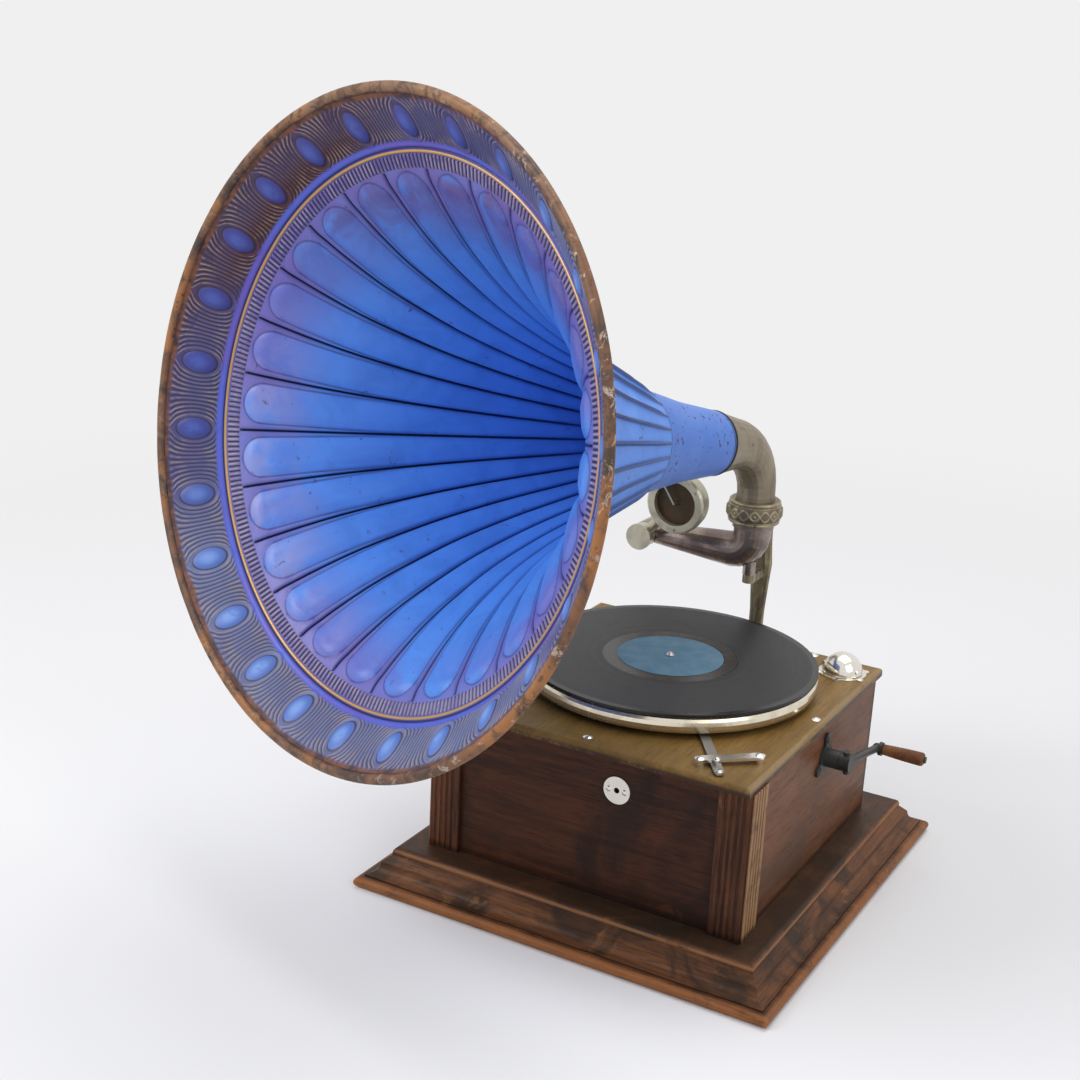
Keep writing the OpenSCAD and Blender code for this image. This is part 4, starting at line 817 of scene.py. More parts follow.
@dataclass
class Horn:
    """The petalled horn: an embossed bell, a smooth throat and a rolled rim. Sizes in millimetres."""

    collar_top: float = 294.9
    heading: float = 15.9
    tilt: float = 9.0
    bend: float = 52.0
    bend_end: float = 26.0
    rise: float = 7.2
    throat_len: float = 110.0
    bell_len: float = 260.0
    border_len: float = 34.0
    mouth_r: float = 28.5
    throat_r: float = 46.0
    line_r: float = 203.5
    edge_r: float = 238.6
    rim_r: float = 3.6
    sheet: float = 1.0
    petals: int = 26
    first_seam: float = 0.25
    seam_depth: float = 2.4
    head_reach: float = -15.0
    comb_reach: float = -12.6
    cove_reach: float = 4.5
    oval_reach: float = 26.0
    oval_half: tuple[float, float] = (8.9, 14.2)
    ring_half: tuple[float, float] = (11.25, 17.75)
    teeth: int = 12
    ribs: int = 5
    petal_columns: int = 26
    oval_columns: int = 7
    rib_columns: int = 5
    tongue_share: float = 0.372
    tongue_growth: float = 0.098
    smooth_angle: float = 60.0

    def matrix(self) -> Matrix:
        """Place of the horn's own frame, whose Z runs along the horn from the elbow's mouth.

        Returns:
            The matrix, in metres.
        """
        tilt = math.radians(self.tilt)
        forward = self.bend * (1 - math.sin(tilt)) + self.bend_end * math.cos(tilt)
        height = self.collar_top + self.rise + self.bend * math.cos(tilt) + self.bend_end * math.sin(tilt)
        return (Matrix.Translation((0, ARM_AXIS_Y * MM, 0))
                @ Matrix.Rotation(-math.radians(self.heading), 4, "Z")
                @ Matrix.Translation((0, -forward * MM, height * MM))
                @ Matrix.Rotation(math.radians(90 - self.tilt), 4, "X"))

    def flare(self, t: np.ndarray) -> np.ndarray:
        """Radius of the sheet at distances t from the elbow, on a smooth curve through its stations.

        Args:
            t: Distances in millimetres.

        Returns:
            Radii in millimetres.
        """
        grow = self.line_r - self.throat_r
        start = self.throat_len
        bell = ((0.15, 0.084), (0.38, 0.225), (0.62, 0.417), (0.82, 0.644), (0.93, 0.822), (0.97, 0.9),
                (1.0, 1.0))
        stations = np.array([
            (0.0, self.mouth_r),
            (start / 2, self.mouth_r + (self.throat_r - self.mouth_r) * 0.38),
            (start, self.throat_r),
            *((start + self.bell_len * u, self.throat_r + grow * share) for u, share in bell),
            (start + self.bell_len + self.border_len * 0.42, (self.line_r + self.edge_r) / 2),
            (self.length, self.edge_r)])
        x, y = stations[:, 0], stations[:, 1]
        slope = np.gradient(y, x)
        i = np.clip(np.searchsorted(x, t) - 1, 0, len(x) - 2)
        width = x[i + 1] - x[i]
        s = (t - x[i]) / width
        return ((2 * s ** 3 - 3 * s ** 2 + 1) * y[i] + (s ** 3 - 2 * s ** 2 + s) * width * slope[i]
                + (-2 * s ** 3 + 3 * s ** 2) * y[i + 1] + (s ** 3 - s ** 2) * width * slope[i + 1])

    @property
    def length(self) -> float:
        """Length of the horn from the elbow to its edge."""
        return self.throat_len + self.bell_len + self.border_len

    def runs(self) -> tuple[np.ndarray, np.ndarray]:
        """Measure the sheet along its curve.

        Returns:
            Distances t along the axis, and the reach along the sheet from the gilt line at each of them.
        """
        fine = np.linspace(0, self.length, 4000)
        steps = np.hypot(np.diff(fine), np.diff(self.flare(fine)))
        run = np.concatenate([[0.0], np.cumsum(steps)])
        return fine, run - np.interp(self.throat_len + self.bell_len, fine, run)

    @property
    def rim_reach(self) -> float:
        """Distance along the sheet from the gilt line to the rim."""
        return float(self.runs()[1][-1])

    @property
    def petal_end(self) -> float:
        """Reach at which the petals' band ends and the comb's begins."""
        return self.comb_reach - 0.4

    def rows(self, zone: Zone) -> np.ndarray:
        """Places of a band's rows, as reach along the sheet in millimetres.

        Args:
            zone: The band.

        Returns:
            The rows from the throat towards the rim.
        """
        if zone is Zone.PETALS:
            t, reach = self.runs()
            start = float(np.interp(self.throat_len, t, reach))
            return np.concatenate([np.linspace(start, -52.0, 30, endpoint=False),
                                   np.linspace(-52.0, self.petal_end, 36)])
        if zone is Zone.COMB:
            low = self.comb_reach
            return np.array([self.petal_end, low, low + 0.7, low + 1.6, -8.0, -5.0, -2.9, -2.2, -1.7, -1.25,
                             -0.7, 0.0, 0.7, 1.25, 1.8, 2.4, 3.1, self.cove_reach])
        return np.concatenate([[self.cove_reach, 6.0, 7.2], np.linspace(8.2, self.rim_reach - 4.0, 21),
                               [self.rim_reach - 2.0, self.rim_reach]])

    def ring_width(self, reach: np.ndarray) -> np.ndarray:
        """Half width of the ring round an oval, never quite closed, at a reach."""
        along = (reach - self.oval_reach) / self.ring_half[1]
        return 1.4 + (self.ring_half[0] - 1.4) * np.sqrt(np.clip(1 - along ** 2, 0, 1))

    def columns(self, zone: Zone, reach: np.ndarray, pitch: np.ndarray) -> tuple[np.ndarray, np.ndarray]:
        """Offsets of a petal's columns from its seam, and the crest of the ribs there.

        Args:
            zone: The band.
            reach: Reach of each row.
            pitch: Width of a petal at each row.

        Returns:
            Offsets in millimetres from -pitch/2 on, and crests from 0 to 1, one row each.
        """
        reach, pitch = reach[:, None], pitch[:, None]
        if zone is Zone.PETALS:
            phase = np.arange(self.petal_columns)[None, :] / self.petal_columns - 0.5
            phase = phase - 0.1 * np.sin(2 * math.pi * phase)
            return phase * pitch, np.zeros_like(phase * pitch)
        if zone is Zone.COMB:
            tooth = np.array([0.0, 0.22, 0.40, 0.60, 0.78])
            crest = np.array([1.0, 0.85, 0.0, 0.0, 0.85])
            phase = (np.arange(self.teeth)[:, None] + tooth[None, :]).ravel()[None, :] / self.teeth - 0.5
            return phase * pitch, np.tile(crest, self.teeth)[None, :] * np.ones_like(pitch)
        steps = self.rib_columns * self.ribs
        share = np.arange(steps) / steps
        inner = np.arange(self.oval_columns) / self.oval_columns
        width = self.ring_width(reach)
        outside = width + (pitch / 2 - width) * share[None, :]
        inside = width * inner[None, :]
        half = np.concatenate([inside, outside], 1)
        wave = 0.5 + 0.5 * np.cos(2 * math.pi * self.ribs * share)
        crest = np.concatenate([np.full(self.oval_columns, 0.5), wave])[None, :] * np.ones_like(pitch)
        middle = pitch / 2
        offsets = np.concatenate([-middle, -half[:, :0:-1], half], 1)
        crests = np.concatenate([np.ones_like(pitch), crest[:, :0:-1], crest], 1)
        return offsets, crests

    def tongue_edge(self, reach: np.ndarray, offset: np.ndarray, pitch: np.ndarray) -> np.ndarray:
        """Distance from the outline of a petal's tongue.

        Args:
            reach: Distance along the sheet from the gilt line.
            offset: Distance from the nearest seam.
            pitch: Width of one petal there.

        Returns:
            Distances in millimetres, negative inside the tongue.
        """
        depth = self.head_reach - reach
        half = pitch * (self.tongue_share + self.tongue_growth * ramp(depth, 0.0, 175.0))
        off_centre = pitch / 2 - np.abs(offset)
        head = pitch * self.tongue_share
        round_end = np.hypot(off_centre, head - depth) - head
        return np.where(depth < head, round_end, off_centre - half)

    def relief(self, reach: np.ndarray, offset: np.ndarray, pitch: np.ndarray,
               crest: np.ndarray) -> tuple[np.ndarray, np.ndarray]:
        """Height of the embossing toward the inside of the horn.

        Args:
            reach: Distance along the sheet from the gilt line.
            offset: Distance from the nearest seam.
            pitch: Width of one petal there.
            crest: Crest of the ribs there.

        Returns:
            Heights, and distances from the outline of the tongue or oval, negative inside, in millimetres.
        """
        side = np.abs(offset)
        depth = self.head_reach - reach
        edge = self.tongue_edge(reach, offset, pitch)
        field = ramp(reach, self.petal_end, self.comb_reach - 2.4)
        crown = (ramp(-edge, 0.0, 9.0) * 2.0 + ramp(-edge, 0.0, 1.8) * 0.7) * ramp(depth, 230.0, 60.0)
        swell = np.sqrt(np.clip(1 - ((pitch / 2 - side) / (pitch / 2)) ** 2, 0, 1))
        flute = 0.085 * pitch * swell * ramp(depth, 30.0, 190.0)
        groove = -0.75 * np.exp(-(edge / 1.0) ** 2) * ramp(depth, 170.0, 60.0)
        begin = float(np.interp(self.throat_len, *self.runs()))
        seam = -self.seam_depth * np.exp(-(side / 0.95) ** 2) * ramp(reach, begin, begin + 26.0)
        petal = field * (crown + flute + groove + seam)
        comb = (0.95 * crest * ramp(reach, self.comb_reach, self.comb_reach + 1.4) * ramp(reach, -1.5, -2.6)
                * (reach < 0))
        bead = (1.3 * np.sqrt(np.clip(1 - (reach / 1.35) ** 2, 0, 1))
                - 0.9 * np.exp(-((reach - 2.5) / 0.8) ** 2))
        across, along = side / self.oval_half[0], (reach - self.oval_reach) / self.oval_half[1]
        dome = 2.4 * np.sqrt(np.clip(1 - across ** 2 - along ** 2, 0, 1))
        ring = np.hypot(side / self.ring_half[0], (reach - self.oval_reach) / self.ring_half[1])
        ridge = 0.8 * np.exp(-((ring - 1.0) / 0.07) ** 2)
        fringe = (0.85 * crest * ramp(ring, 1.0, 1.12) * ramp(reach, 7.4, 9.4)
                  * ramp(reach, self.rim_reach - 1.5, self.rim_reach - 5.0))
        belly = 1.8 * np.exp(-((reach - self.oval_reach) / 15.0) ** 2) * ramp(reach, 5.0, 12.0)
        border = (dome + ridge + fringe + belly) * ramp(reach, self.cove_reach, 8.0)
        oval = (np.hypot(across, along) - 1.0) * 9.0
        within = np.where(reach > self.petal_end, comb + bead, petal)
        height = np.where(reach > self.cove_reach, border, within)
        return height, np.where(reach > self.cove_reach, oval, edge)

    def build_band(self, zone: Zone) -> bpy.types.Object:
        """Spin the profile of one band, emboss it and give the sheet its thickness.

        Args:
            zone: The band.

        Returns:
            The band.
        """
        t_fine, reach_fine = self.runs()
        reach_rows = self.rows(zone)
        t_rows = np.interp(reach_rows, reach_fine, t_fine)
        radius_rows = self.flare(t_rows)
        pitch_rows = 2 * math.pi * radius_rows / self.petals
        offsets, crests = self.columns(zone, reach_rows, pitch_rows)
        per = offsets.shape[1]
        band = spun(zone.value, list(zip(radius_rows * MM, t_rows * MM)), self.petals * per)
        points = points_of(band)
        row = np.clip(np.searchsorted(t_rows, points[:, 2] / MM + 1e-3) - 1, 0, len(t_rows) - 1)
        turn = np.arctan2(points[:, 1], points[:, 0]) / (2 * math.pi) * self.petals * per
        column = np.round(turn).astype(int)
        petal, step = np.divmod(column, per)
        offset, crest = offsets[row, step], crests[row, step]
        reach, t, radius, pitch = reach_rows[row], t_rows[row], radius_rows[row], pitch_rows[row]
        angle = (petal + 0.5 + self.first_seam + offset / pitch) * 2 * math.pi / self.petals
        slope = np.gradient(self.flare(t_fine), t_fine)
        slope = np.interp(t, t_fine, slope)
        size = np.sqrt(1 + slope ** 2)
        height, edge = self.relief(reach, offset, pitch, crest)
        new_r = radius - height / size
        new_t = t + height * slope / size
        move_points(band, np.stack([new_r * np.cos(angle), new_r * np.sin(angle), new_t], 1) * MM)
        for name, value in (("reach", reach), ("seam", np.abs(offset)), ("edge", edge), ("crest", crest)):
            keep_reading(band, name, value)
        sheet = band.modifiers.new("sheet", "SOLIDIFY")
        sheet.thickness = self.sheet * MM
        sheet.offset = self.outward(band)
        sheet.material_offset = 1
        sheet.material_offset_rim = 1
        apply_all(band)
        return settle(band, self.matrix())

    def outward(self, bell: bpy.types.Object) -> float:
        """Offset that puts the sheet's thickness on the outside, from the way most faces point.

        Args:
            bell: The spun sheet.

        Returns:
            1 or -1.
        """
        pointing = sum(face.normal.x * face.center.x + face.normal.y * face.center.y
                       for face in bell.data.polygons)
        return 1.0 if pointing > 0 else -1.0

    def build_rim(self) -> bpy.types.Object:
        """Roll the rim round the edge of the bell, a little dented by use.

        Returns:
            The rim.
        """
        deselect()
        half = self.rim_r + 0.45
        middle_r = self.edge_r + self.sheet + 2 * self.rim_r - half - 0.1
        middle_t = (self.length + self.sheet / 2) * MM
        bpy.ops.mesh.primitive_torus_add(major_radius=middle_r * MM, minor_radius=half * MM,
                                         major_segments=312, minor_segments=20, location=(0, 0, middle_t))
        rim = own("horn_rim_rolled")
        settle(rim)
        points = points_of(rim)
        points[:, 2] = middle_t + (points[:, 2] - middle_t) * (self.rim_r - 0.1) / half
        angle = np.arctan2(points[:, 1], points[:, 0])
        dents = 0.10 * np.sin(angle * 9 + 1.0) + 0.08 * np.sin(angle * 23 + 2.0) + 0.06 * np.sin(angle * 41)
        points[:, 2] += np.minimum(dents, 0.0) * MM
        move_points(rim, points)
        shade(rim, self.smooth_angle)
        return settle(rim, self.matrix())

    def build(self, inside: bpy.types.Material, outside: bpy.types.Material,
              rim: bpy.types.Material) -> None:
        """Make the bands and the rim and let them ride on the horn.

        Args:
            inside: Paint of the embossed side.
            outside: Paint meant for the back; it fills the second slot, which no face uses, since the sheet
                got its thickness before the slots were added.
            rim: Finish of the rolled rim.
        """
        pieces = []
        for zone in Zone:
            band = self.build_band(zone)
            band.data.materials.append(inside)
            band.data.materials.append(outside)
            shade(band, self.smooth_angle)
            pieces.append((band, "horn_bell", "horn_enamel"))
        edge = self.build_rim()
        edge.data.materials.append(rim)
        pieces.append((edge, "horn_rim", "rim_copper"))
        for piece, node, slot in pieces:
            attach(piece, "horn")
            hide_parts(node)
            log.info("%s: %d faces", piece.name, len(piece.data.polygons))


@dataclass
class Collar:
    """The cast band round the bracket's collar, ovals between crossing scrolls. Sizes in millimetres."""

    bottom: float = 273.4
    height: float = 21.5
    outer_r: float = 26.2
    inner_r: float = 19.0
    lip_r: float = 23.6
    motifs: int = 8
    steps: int = 240
    relief: float = 0.75
    smooth_angle: float = 50.0

    def profile(self) -> list[tuple[float, float]]:
        """Outline of the band from its lower lip, up over its belly to its upper lip.

        Returns:
            Radius and height of each point.
        """
        middle, half = self.height / 2, self.height / 2 - 0.05
        lower = [(self.inner_r, -half), (self.lip_r - 1.0, -half), (self.lip_r, -half + 0.9),
                 (self.lip_r, -half + 2.2), (self.lip_r - 0.7, -half + 3.0)]
        belly = []
        foot_r, reach = self.lip_r - 0.3, half - 3.4
        for v in np.linspace(-reach, reach, 23):
            swell = math.sqrt(1 - 0.92 * (v / reach) ** 2)
            belly.append((foot_r + (self.outer_r - foot_r) * swell, v))
        upper = [(r, -v) for r, v in reversed(lower)]
        return [(r, middle + v) for r, v in lower + belly + upper]

    def scrolls(self, u: np.ndarray, v: np.ndarray, width: float) -> np.ndarray:
        """Crest of the ornament, from 0 in the ground to 1.

        Args:
            u: Distance round the band from the middle of a motif.
            v: Height from the middle of the band.
            width: Width of a motif.

        Returns:
            The crest at each point.
        """
        oval = np.hypot(u / (0.19 * width), v / 3.3)
        ring = np.exp(-((oval - 1.0) / 0.20) ** 2)
        boss = np.clip(1.0 - (oval / 0.55) ** 2, 0, 1)
        wave = 4.6 * np.cos(2 * math.pi * u / width)
        crossing = np.exp(-((v - wave) / 0.75) ** 2) + np.exp(-((v + wave) / 0.75) ** 2)
        outside = np.clip((oval - 1.0) / 0.25, 0, 1)
        return np.clip(ring + boss + crossing * outside * 0.85, 0, 1)

    def build(self, finish: bpy.types.Material) -> None:
        """Spin the band, raise its ornament and let it ride on the case.

        Args:
            finish: The cast metal.
        """
        profile = [(r * MM, (self.bottom + z) * MM) for r, z in self.profile()]
        band = spun("collar_band", profile, self.steps, closed=True)
        points = points_of(band)
        angle = np.arctan2(points[:, 1], points[:, 0])
        radius = np.hypot(points[:, 0], points[:, 1]) / MM
        v = points[:, 2] / MM - self.bottom - self.height / 2
        width = 2 * math.pi * self.outer_r / self.motifs
        u = (angle / (2 * math.pi) * self.motifs % 1.0 - 0.5) * width
        belt = ramp(np.abs(v), self.height / 2 - 3.2, self.height / 2 - 4.6) * (radius > self.lip_r - 0.5)
        crest = self.scrolls(u, v, width) * belt
        new = radius - self.relief * belt * (1.0 - crest)
        points[:, 0], points[:, 1] = new * np.cos(angle) * MM, new * np.sin(angle) * MM
        move_points(band, points)
        keep_reading(band, "crest", crest + (1.0 - belt))
        band.data.materials.append(finish)
        shade(band, self.smooth_angle)
        settle(band, Matrix.Translation((0, ARM_AXIS_Y * MM, 0)))
        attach(band, "case")
        log.info("%s: %d faces", band.name, len(band.data.polygons))


@dataclass
class Studio:
    """Camera, lights and floor."""

    lens: float = 57.158
    yaw: float = 28.815
    pitch: float = 17.761
    roll: float = 2.989
    eye: tuple[float, float, float] = (0.55674, -1.254311, 0.727863)
    sensor: float = 36.0
    floor_size: float = 40.0
    floor_fade: tuple[float, float] = (0.42, 1.7)
    floor_colour: Colour = (0.81, 0.81, 0.825)
    backdrop: Colour = (0.875, 0.870, 0.875)
    lamps_aim: tuple[float, float, float] = (0.0, 0.0, 0.25)
    daylight: Colour = (0.95, 0.95, 0.96)
    daylight_strength: float = 0.46

    def build(self) -> None:
        """Make the camera, the floor, the lamps and the world."""
        self.build_camera()
        self.build_floor()
        self.build_lamps()
        self.build_world()

    def build_camera(self) -> None:
        """Place the camera where the photograph was taken."""
        a, e, r = (math.radians(v) for v in (self.yaw, self.pitch, self.roll))
        back = Vector((math.sin(a) * math.cos(e), -math.cos(a) * math.cos(e), math.sin(e)))
        level = Vector((math.cos(a), math.sin(a), 0))
        up = back.cross(level)
        right = math.cos(r) * level + math.sin(r) * up
        top = -math.sin(r) * level + math.cos(r) * up
        data = bpy.data.cameras.new("camera")
        data.lens = self.lens
        data.sensor_width = self.sensor
        camera = bpy.data.objects.new("camera", data)
        camera.matrix_world = Matrix(((right.x, top.x, back.x, self.eye[0]),
                                      (right.y, top.y, back.y, self.eye[1]),
                                      (right.z, top.z, back.z, self.eye[2]), (0, 0, 0, 1)))
        bpy.context.scene.collection.objects.link(camera)
        bpy.context.scene.camera = camera

    def seen(self, tree: bpy.types.NodeTree) -> bpy.types.NodeSocket:
        """Share of a ray that the eye sees, straight or in metal or glass.

        Args:
            tree: The node tree to add it to.

        Returns:
            A socket that is 1 for such rays and 0 for the light that falls on the object.
        """
        path = tree.nodes.new("ShaderNodeLightPath")
        total = path.outputs["Is Camera Ray"]
        for name in ("Is Glossy Ray", "Is Transmission Ray"):
            add = tree.nodes.new("ShaderNodeMath")
            add.operation = "ADD"
            add.use_clamp = True
            tree.links.new(total, add.inputs[0])
            tree.links.new(path.outputs[name], add.inputs[1])
            total = add.outputs[0]
        return total

    def build_floor(self) -> None:
        """Lay a wide pale floor that keeps the object's shadow and melts into the backdrop."""
        deselect()
        bpy.ops.mesh.primitive_plane_add(size=self.floor_size, location=(0, 0, 0))
        floor = own("floor")
        g = Graph("floor_paper")
        g.finish(Base_Color=self.floor_colour, Roughness=0.95)
        x, y, _ = g.axes(g.place())
        far = g.math("SQRT", x * x + y * y)
        share = g.step(far, *self.floor_fade) * Value(g, self.seen(g.tree))
        paper = g.node("ShaderNodeEmission", {"Color": self.backdrop})
        mixed = g.node("ShaderNodeMixShader", {0: share, 1: g.shader.outputs[0], 2: paper.outputs[0]})
        output = next(n for n in g.tree.nodes if n.type == "OUTPUT_MATERIAL")
        g.tree.links.new(mixed.outputs[0], output.inputs["Surface"])
        floor.data.materials.append(g.material)
        log.info("%s: %.0f m wide", floor.name, self.floor_size)

    def build_lamps(self) -> None:
        """Hang three soft lamps round the object."""
        for name, place, size, power in (
                ("key_lamp", (-1.5, -1.9, 2.0), 1.5, 42.0),
                ("fill_lamp", (2.2, -0.9, 1.7), 1.8, 16.0),
                ("top_lamp", (0.2, 0.5, 2.8), 2.2, 38.0)):
            data = bpy.data.lights.new(name, "AREA")
            data.shape = "SQUARE"
            data.size = size
            data.energy = power
            lamp = bpy.data.objects.new(name, data)
            lamp.location = place
            lamp.rotation_mode = "QUATERNION"
            lamp.rotation_quaternion = (Vector(self.lamps_aim) - Vector(place)).to_track_quat("-Z", "Y")
            bpy.context.scene.collection.objects.link(lamp)

    def build_world(self) -> None:
        """Light all round with a pale, even world, and show the backdrop's colour behind the object."""
        world = bpy.data.worlds.new("world")
        bpy.context.scene.world = world
        world.use_nodes = True
        tree = world.node_tree
        light = tree.nodes["Background"]
        light.inputs["Color"].default_value = (*self.daylight, 1)
        light.inputs["Strength"].default_value = self.daylight_strength
        wall = tree.nodes.new("ShaderNodeBackground")
        wall.inputs["Color"].default_value = (*self.backdrop, 1)
        mixed = tree.nodes.new("ShaderNodeMixShader")
        output = next(n for n in tree.nodes if n.type == "OUTPUT_WORLD")
        tree.links.new(self.seen(tree), mixed.inputs[0])
        tree.links.new(light.outputs[0], mixed.inputs[1])
        tree.links.new(wall.outputs[0], mixed.inputs[2])
        tree.links.new(mixed.outputs[0], output.inputs["Surface"])


class Palette:
    """The finishes of all pieces, made once."""

    def __init__(self, horn: Horn) -> None:
        """Make every finish.

        Args:
            horn: The horn, whose throat has two dark rings.
        """
        self.woods()
        self.metals()
        self.others()
        to_world = horn.matrix()
        ends = (to_world @ Vector((0, 0, 0.004)), to_world @ Vector((0, 0, horn.throat_len * MM)))
        self.outer = OuterPaint("throat_paint", False, ends).build()
        self.back = OuterPaint("bell_back_paint", True, ends).build()
        middle = to_world @ Vector((0, 0, horn.length * MM))
        self.rim = RimPaint("rim_worn_paint", middle.x).build()

    def woods(self) -> None:
        """Make the woods, worn at their edges, with painted shade where parts meet, in their corners and in
        their grooves.
        """
        # deep is the near-black brown of the painted shade bands; orange and straw are worn wood.
        deep, orange, straw = (0.018, 0.009, 0.007), (0.36, 0.135, 0.042), (0.44, 0.255, 0.125)
        board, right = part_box("motor_board"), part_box("pilaster_right")
        base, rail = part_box("base_board"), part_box("plinth_front")
        # Painted shadow: a dark band at the foot of the case and the posts, just above the plinth.
        painted_foot_shade = Mark(2, rail[1].z, 7 * MM, deep, 0.75)
        # Painted shade: a dark band at the top of the case panels, under the motor board.
        head = Mark(2, board[0].z, 5 * MM, deep, 0.6)
        mahogany = dict(light=(0.092, 0.030, 0.013), dark=(0.036, 0.013, 0.007),
                        stain=(0.015, 0.009, 0.007), worn=(0.17, 0.062, 0.024))
        russet = dict(light=(0.200, 0.082, 0.036), dark=(0.098, 0.036, 0.017),
                      stain=(0.078, 0.043, 0.024), worn=(0.29, 0.165, 0.088))
        tones = dict(light=(0.190, 0.075, 0.029), dark=(0.070, 0.029, 0.015),
                     stain=(0.026, 0.017, 0.011), worn=(0.32, 0.145, 0.055))
        self.front_wood = Wood("front_wood", Grain.ALONG_X, seed=1.0, stained=0.7, wear=0.35, gloss=0.36,
                               marks=(painted_foot_shade, head), **mahogany).build()
        # Painted shade: darker towards the back corner of the side panels.
        painted_back_shade = Mark(1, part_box("case_right")[1].y, 9 * MM, deep, 0.7)
        self.side_wood = Wood("side_wood", Grain.ALONG_Y, seed=2.0, stained=0.7, wear=0.5,
                              marks=(painted_foot_shade, head, painted_back_shade), **russet).build()
        # Painted shadow along the top ledge of the plinth rails, round the foot of the case.
        painted_ledge_shadow = Mark(2, rail[1].z, 1.4 * MM, (0.040, 0.025, 0.016), 0.8)
        rail_edge = Mark(2, rail[1].z - 3.2 * MM, 1.7 * MM, (0.33, 0.15, 0.06), 0.65)
        # Painted shade: a near-black line at the foot of the rails, where they sit on the base board.
        step = Mark(2, base[1].z, 1.6 * MM, (0.014, 0.010, 0.008), 0.8)
        rails = dict(stained=0.85, wear=0.75, spread=15.0, marks=(step, painted_ledge_shadow, rail_edge), **tones)
        self.rail_wood_x = Wood("rail_wood_x", Grain.ALONG_X, seed=3.0, **rails).build()
        self.rail_wood_y = Wood("rail_wood_y", Grain.ALONG_Y, seed=4.0, **rails).build()
        rim = tuple(Mark(axis, corner, 5 * MM, orange, 0.6) for axis, corner in
                    ((0, base[1].x), (0, base[0].x), (1, base[0].y), (1, base[1].y)))
        self.base_wood = Wood("base_wood", Grain.ALONG_X, seed=8.0, stained=0.7, wear=0.8, spread=13.0,
                              marks=rim, **tones).build()
        posts = dict(light=(0.16, 0.060, 0.026), dark=(0.045, 0.015, 0.009), stain=(0.022, 0.012, 0.009),
                     worn=(0.25, 0.11, 0.05))
        # Painted shade: a near-black stripe in the flute down the side of the posts.
        painted_flute_shade = Mark(1, right[0].y + 4.5 * MM, 2.9 * MM, (0.012, 0.006, 0.005), 0.9)
        rubbed = Mark(0, right[1].x, 1.3 * MM, straw, 0.7)
        rubbed_left = Mark(0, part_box("pilaster_left")[0].x, 1.3 * MM, straw, 0.55)
        self.post_wood = Wood("post_wood", Grain.ALONG_Z, seed=5.0, stained=0.5, wear=0.8,
                              marks=(painted_flute_shade, rubbed, rubbed_left, painted_foot_shade), **posts).build()
        # Painted shade: the motor board's edge darkened towards its underside.
        under = Mark(2, board[0].z, 6.2 * MM, (0.045, 0.022, 0.014), 0.95)
        worn = tuple(Mark(axis, corner, 5.5 * MM, (0.34, 0.235, 0.12), 0.75) for axis, corner in
                     ((0, board[1].x), (0, board[0].x)))
        self.board_wood = Wood("board_wood", Grain.ALONG_Y, light=(0.275, 0.160, 0.045),
                               dark=(0.190, 0.105, 0.028), stain=(0.135, 0.080, 0.025),
                               worn=(0.36, 0.235, 0.085), wear=0.35, gloss=0.30, seed=6.0,
                               marks=(*worn, under)).build()
        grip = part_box("crank_grip")
        grip_end = Mark(1, grip[1].y, 3 * MM, (0.05, 0.022, 0.014), 0.8)
        self.grip_wood = Wood("grip_wood_turned", Grain.ALONG_Y, light=(0.26, 0.110, 0.048),
                              dark=(0.13, 0.048, 0.022), stain=(0.08, 0.03, 0.014), worn=(0.38, 0.2, 0.1),
                              stained=0.4, wear=0.5, seed=7.0, marks=(grip_end,)).build()

    def metals(self) -> None:
        """Make the metals."""
        self.bright = Metal("bright_nickel_plate", (0.84, 0.81, 0.74), (0.56, 0.50, 0.40),
                            tarnished=0.3, rough=0.11).build()
        self.platter = Metal("platter_nickel", (0.80, 0.74, 0.60), (0.56, 0.46, 0.31),
                             tarnished=0.45, rough=0.16).build()
        self.dull = Metal("dull_nickel_plate", (0.36, 0.35, 0.32), (0.19, 0.18, 0.15),
                          tarnished=0.6, rough=0.40).build()
        self.iron = Metal("black_iron_paint", (0.020, 0.023, 0.022), (0.045, 0.045, 0.034),
                          rough=0.40, metallic=0.3).build()
        self.steel = Metal("turned_steel", (0.52, 0.51, 0.50), (0.30, 0.27, 0.24),
                           tarnished=0.4, rough=0.28).build()
        self.brass = Metal("cut_brass", (0.72, 0.50, 0.20), (0.40, 0.27, 0.11),
                           tarnished=0.4, rough=0.28).build()
        self.elbow = Weathered("elbow_plate", (0.31, 0.265, 0.190), (0.155, 0.115, 0.078),
                               streaks=0.5, rough=0.38, metallic=0.6, across=60.0).build()
        self.bracket = Weathered("bracket_plate", (0.37, 0.315, 0.20), (0.060, 0.045, 0.028)).build()
        self.cast = Weathered("cast_band_plate", (0.42, 0.36, 0.235), (0.075, 0.056, 0.035),
                              streaks=0.25, rough=0.36, metallic=0.6, across=60.0, relief=True).build()
        self.arm = Metal("arm_plate", (0.36, 0.295, 0.265), (0.145, 0.105, 0.090),
                         tarnished=0.85, rough=0.22, metallic=0.9, patch=22.0, pits=0.5).build()
        self.box = Metal("soundbox_plate", (0.52, 0.49, 0.38), (0.32, 0.29, 0.20),
                         tarnished=0.6, rough=0.32, metallic=0.7, patch=40.0).build()

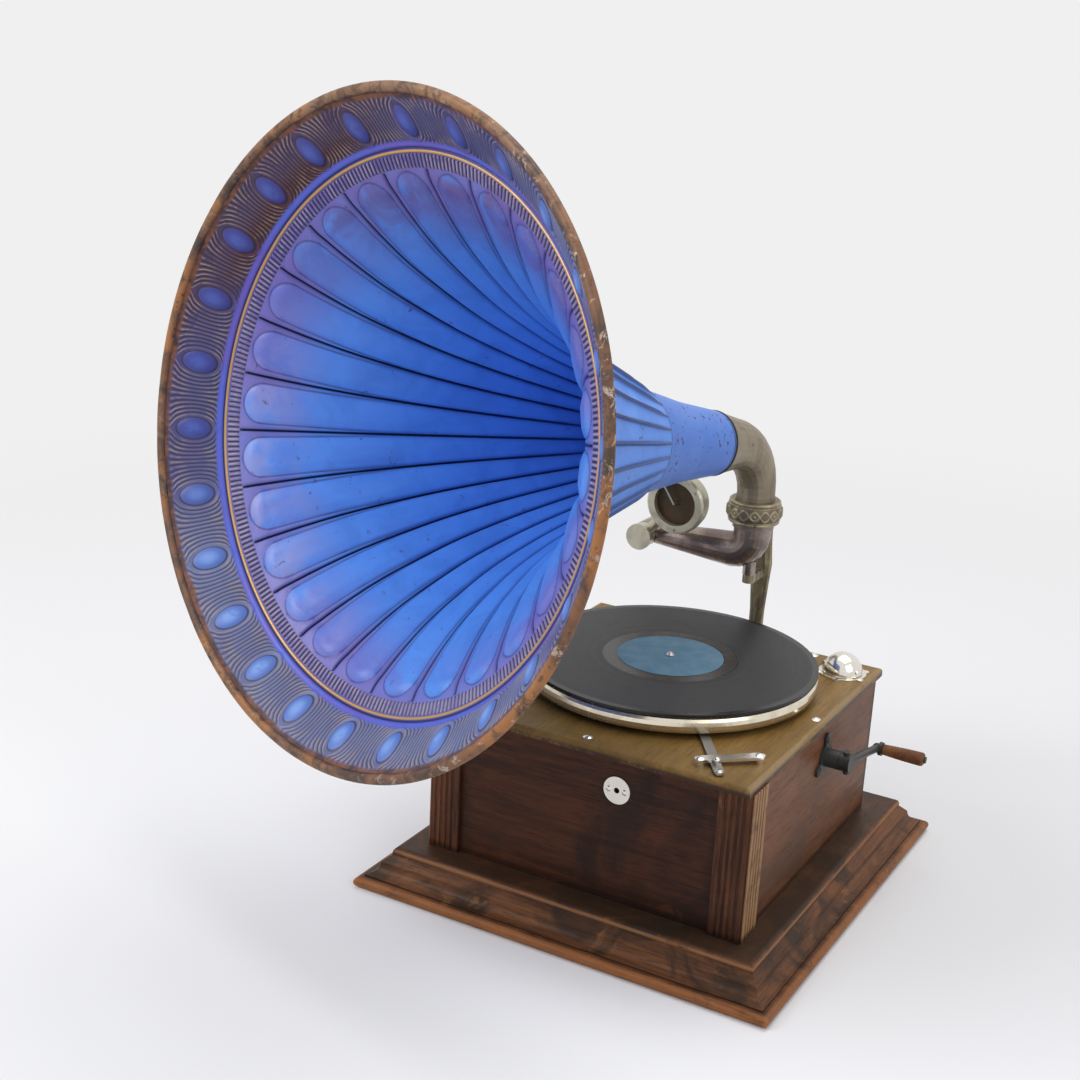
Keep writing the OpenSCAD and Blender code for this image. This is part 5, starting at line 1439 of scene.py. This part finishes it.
    def others(self) -> None:
        """Make the felt, paper, leather, rubber, varnish and shellac."""
        self.felt = Plain("green_felt", (0.03, 0.06, 0.03), (0.05, 0.09, 0.05),
                          rough=0.95, scale=90.0, bump=0.2, sheen=0.5).build()
        self.paper = Plain("teal_paper", (0.092, 0.190, 0.265), (0.140, 0.245, 0.320),
                           rough=0.66, scale=70.0, bump=0.05).build()
        self.leather = Plain("pad_leather", (0.12, 0.05, 0.02), (0.2, 0.09, 0.04),
                             rough=0.7, scale=200.0).build()
        self.rubber = Plain("gasket_rubber", (0.012, 0.012, 0.012), (0.03, 0.03, 0.03),
                            rough=0.7, scale=100.0).build()
        self.varnish = Plain("brown_varnish", (0.050, 0.029, 0.012), (0.080, 0.046, 0.020),
                             rough=0.34, bump=0.05).build()
        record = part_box("record")
        self.record = Shellac("record_shellac", ((record[0].x + record[1].x) / 2,
                                                 (record[0].y + record[1].y) / 2)).build()

    def dress(self) -> None:
        """Give every node of the model its finish."""
        by_finish: dict[str, Sequence[str]] = {
            "front_wood": ("case_front", "case_back"),
            "side_wood": ("case_left", "case_right"),
            "rail_wood_x": ("plinth_front", "plinth_back"),
            "rail_wood_y": ("plinth_left", "plinth_right"),
            "base_wood": ("base_board",),
            "post_wood": ("pilaster_left", "pilaster_right"),
            "board_wood": ("motor_board",),
            "grip_wood": ("crank_grip",),
            "bright": ("lock_plate", "nickel_screws", "brake_guide", "brake_pivot", "brake_knob",
                       "needle_cup", "cup_lid", "needle", "needle_screw"),
            "platter": ("turntable",),
            "dull": ("brake_lever", "stylus_bar"),
            "iron": ("iron_screws", "crank_escutcheon", "crank_arm", "winding_shaft", "motor_bedplate",
                     "motor_lower_plate"),
            "steel": ("motor_pillars", "motor_hangers", "barrel_arbor", "turntable_spindle",
                      "governor_shaft", "mainspring"),
            "brass": ("spring_barrel", "winding_click", "intermediate_wheel", "governor_weights",
                      "governor_brake"),
            "elbow": ("elbow",),
            "bracket": ("back_bracket",),
            "arm": ("tone_arm",),
            "box": ("soundbox_back", "soundbox_ring", "soundbox_swivel"),
            "rim": ("horn_rim",),
            "felt": ("turntable_felt",),
            "paper": ("record_label",),
            "leather": ("brake_pad",),
            "rubber": ("horn_gasket", "soundbox_gasket"),
            "varnish": ("diaphragm",),
            "outer": ("horn_throat", "horn_bell"),
            "record": ("record",),
        }
        for finish, nodes in by_finish.items():
            for node in nodes:
                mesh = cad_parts[node].data
                mesh.materials.clear()
                mesh.materials.append(getattr(self, finish))
        log.info("dressed %d nodes", sum(len(nodes) for nodes in by_finish.values()))


def main() -> None:
    """Build the dressed gramophone and the studio round it."""
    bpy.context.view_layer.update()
    horn = Horn()
    palette = Palette(horn)
    palette.dress()
    paint = HornPaint("horn_enamel_inside", horn.head_reach, horn.comb_reach, horn.rim_reach)
    horn.build(paint.build(), palette.back, palette.rim)
    Collar().build(palette.cast)
    Studio().build()
    bpy.context.scene.view_settings.view_transform = "Standard"


if __name__ == "__main__":
    main()
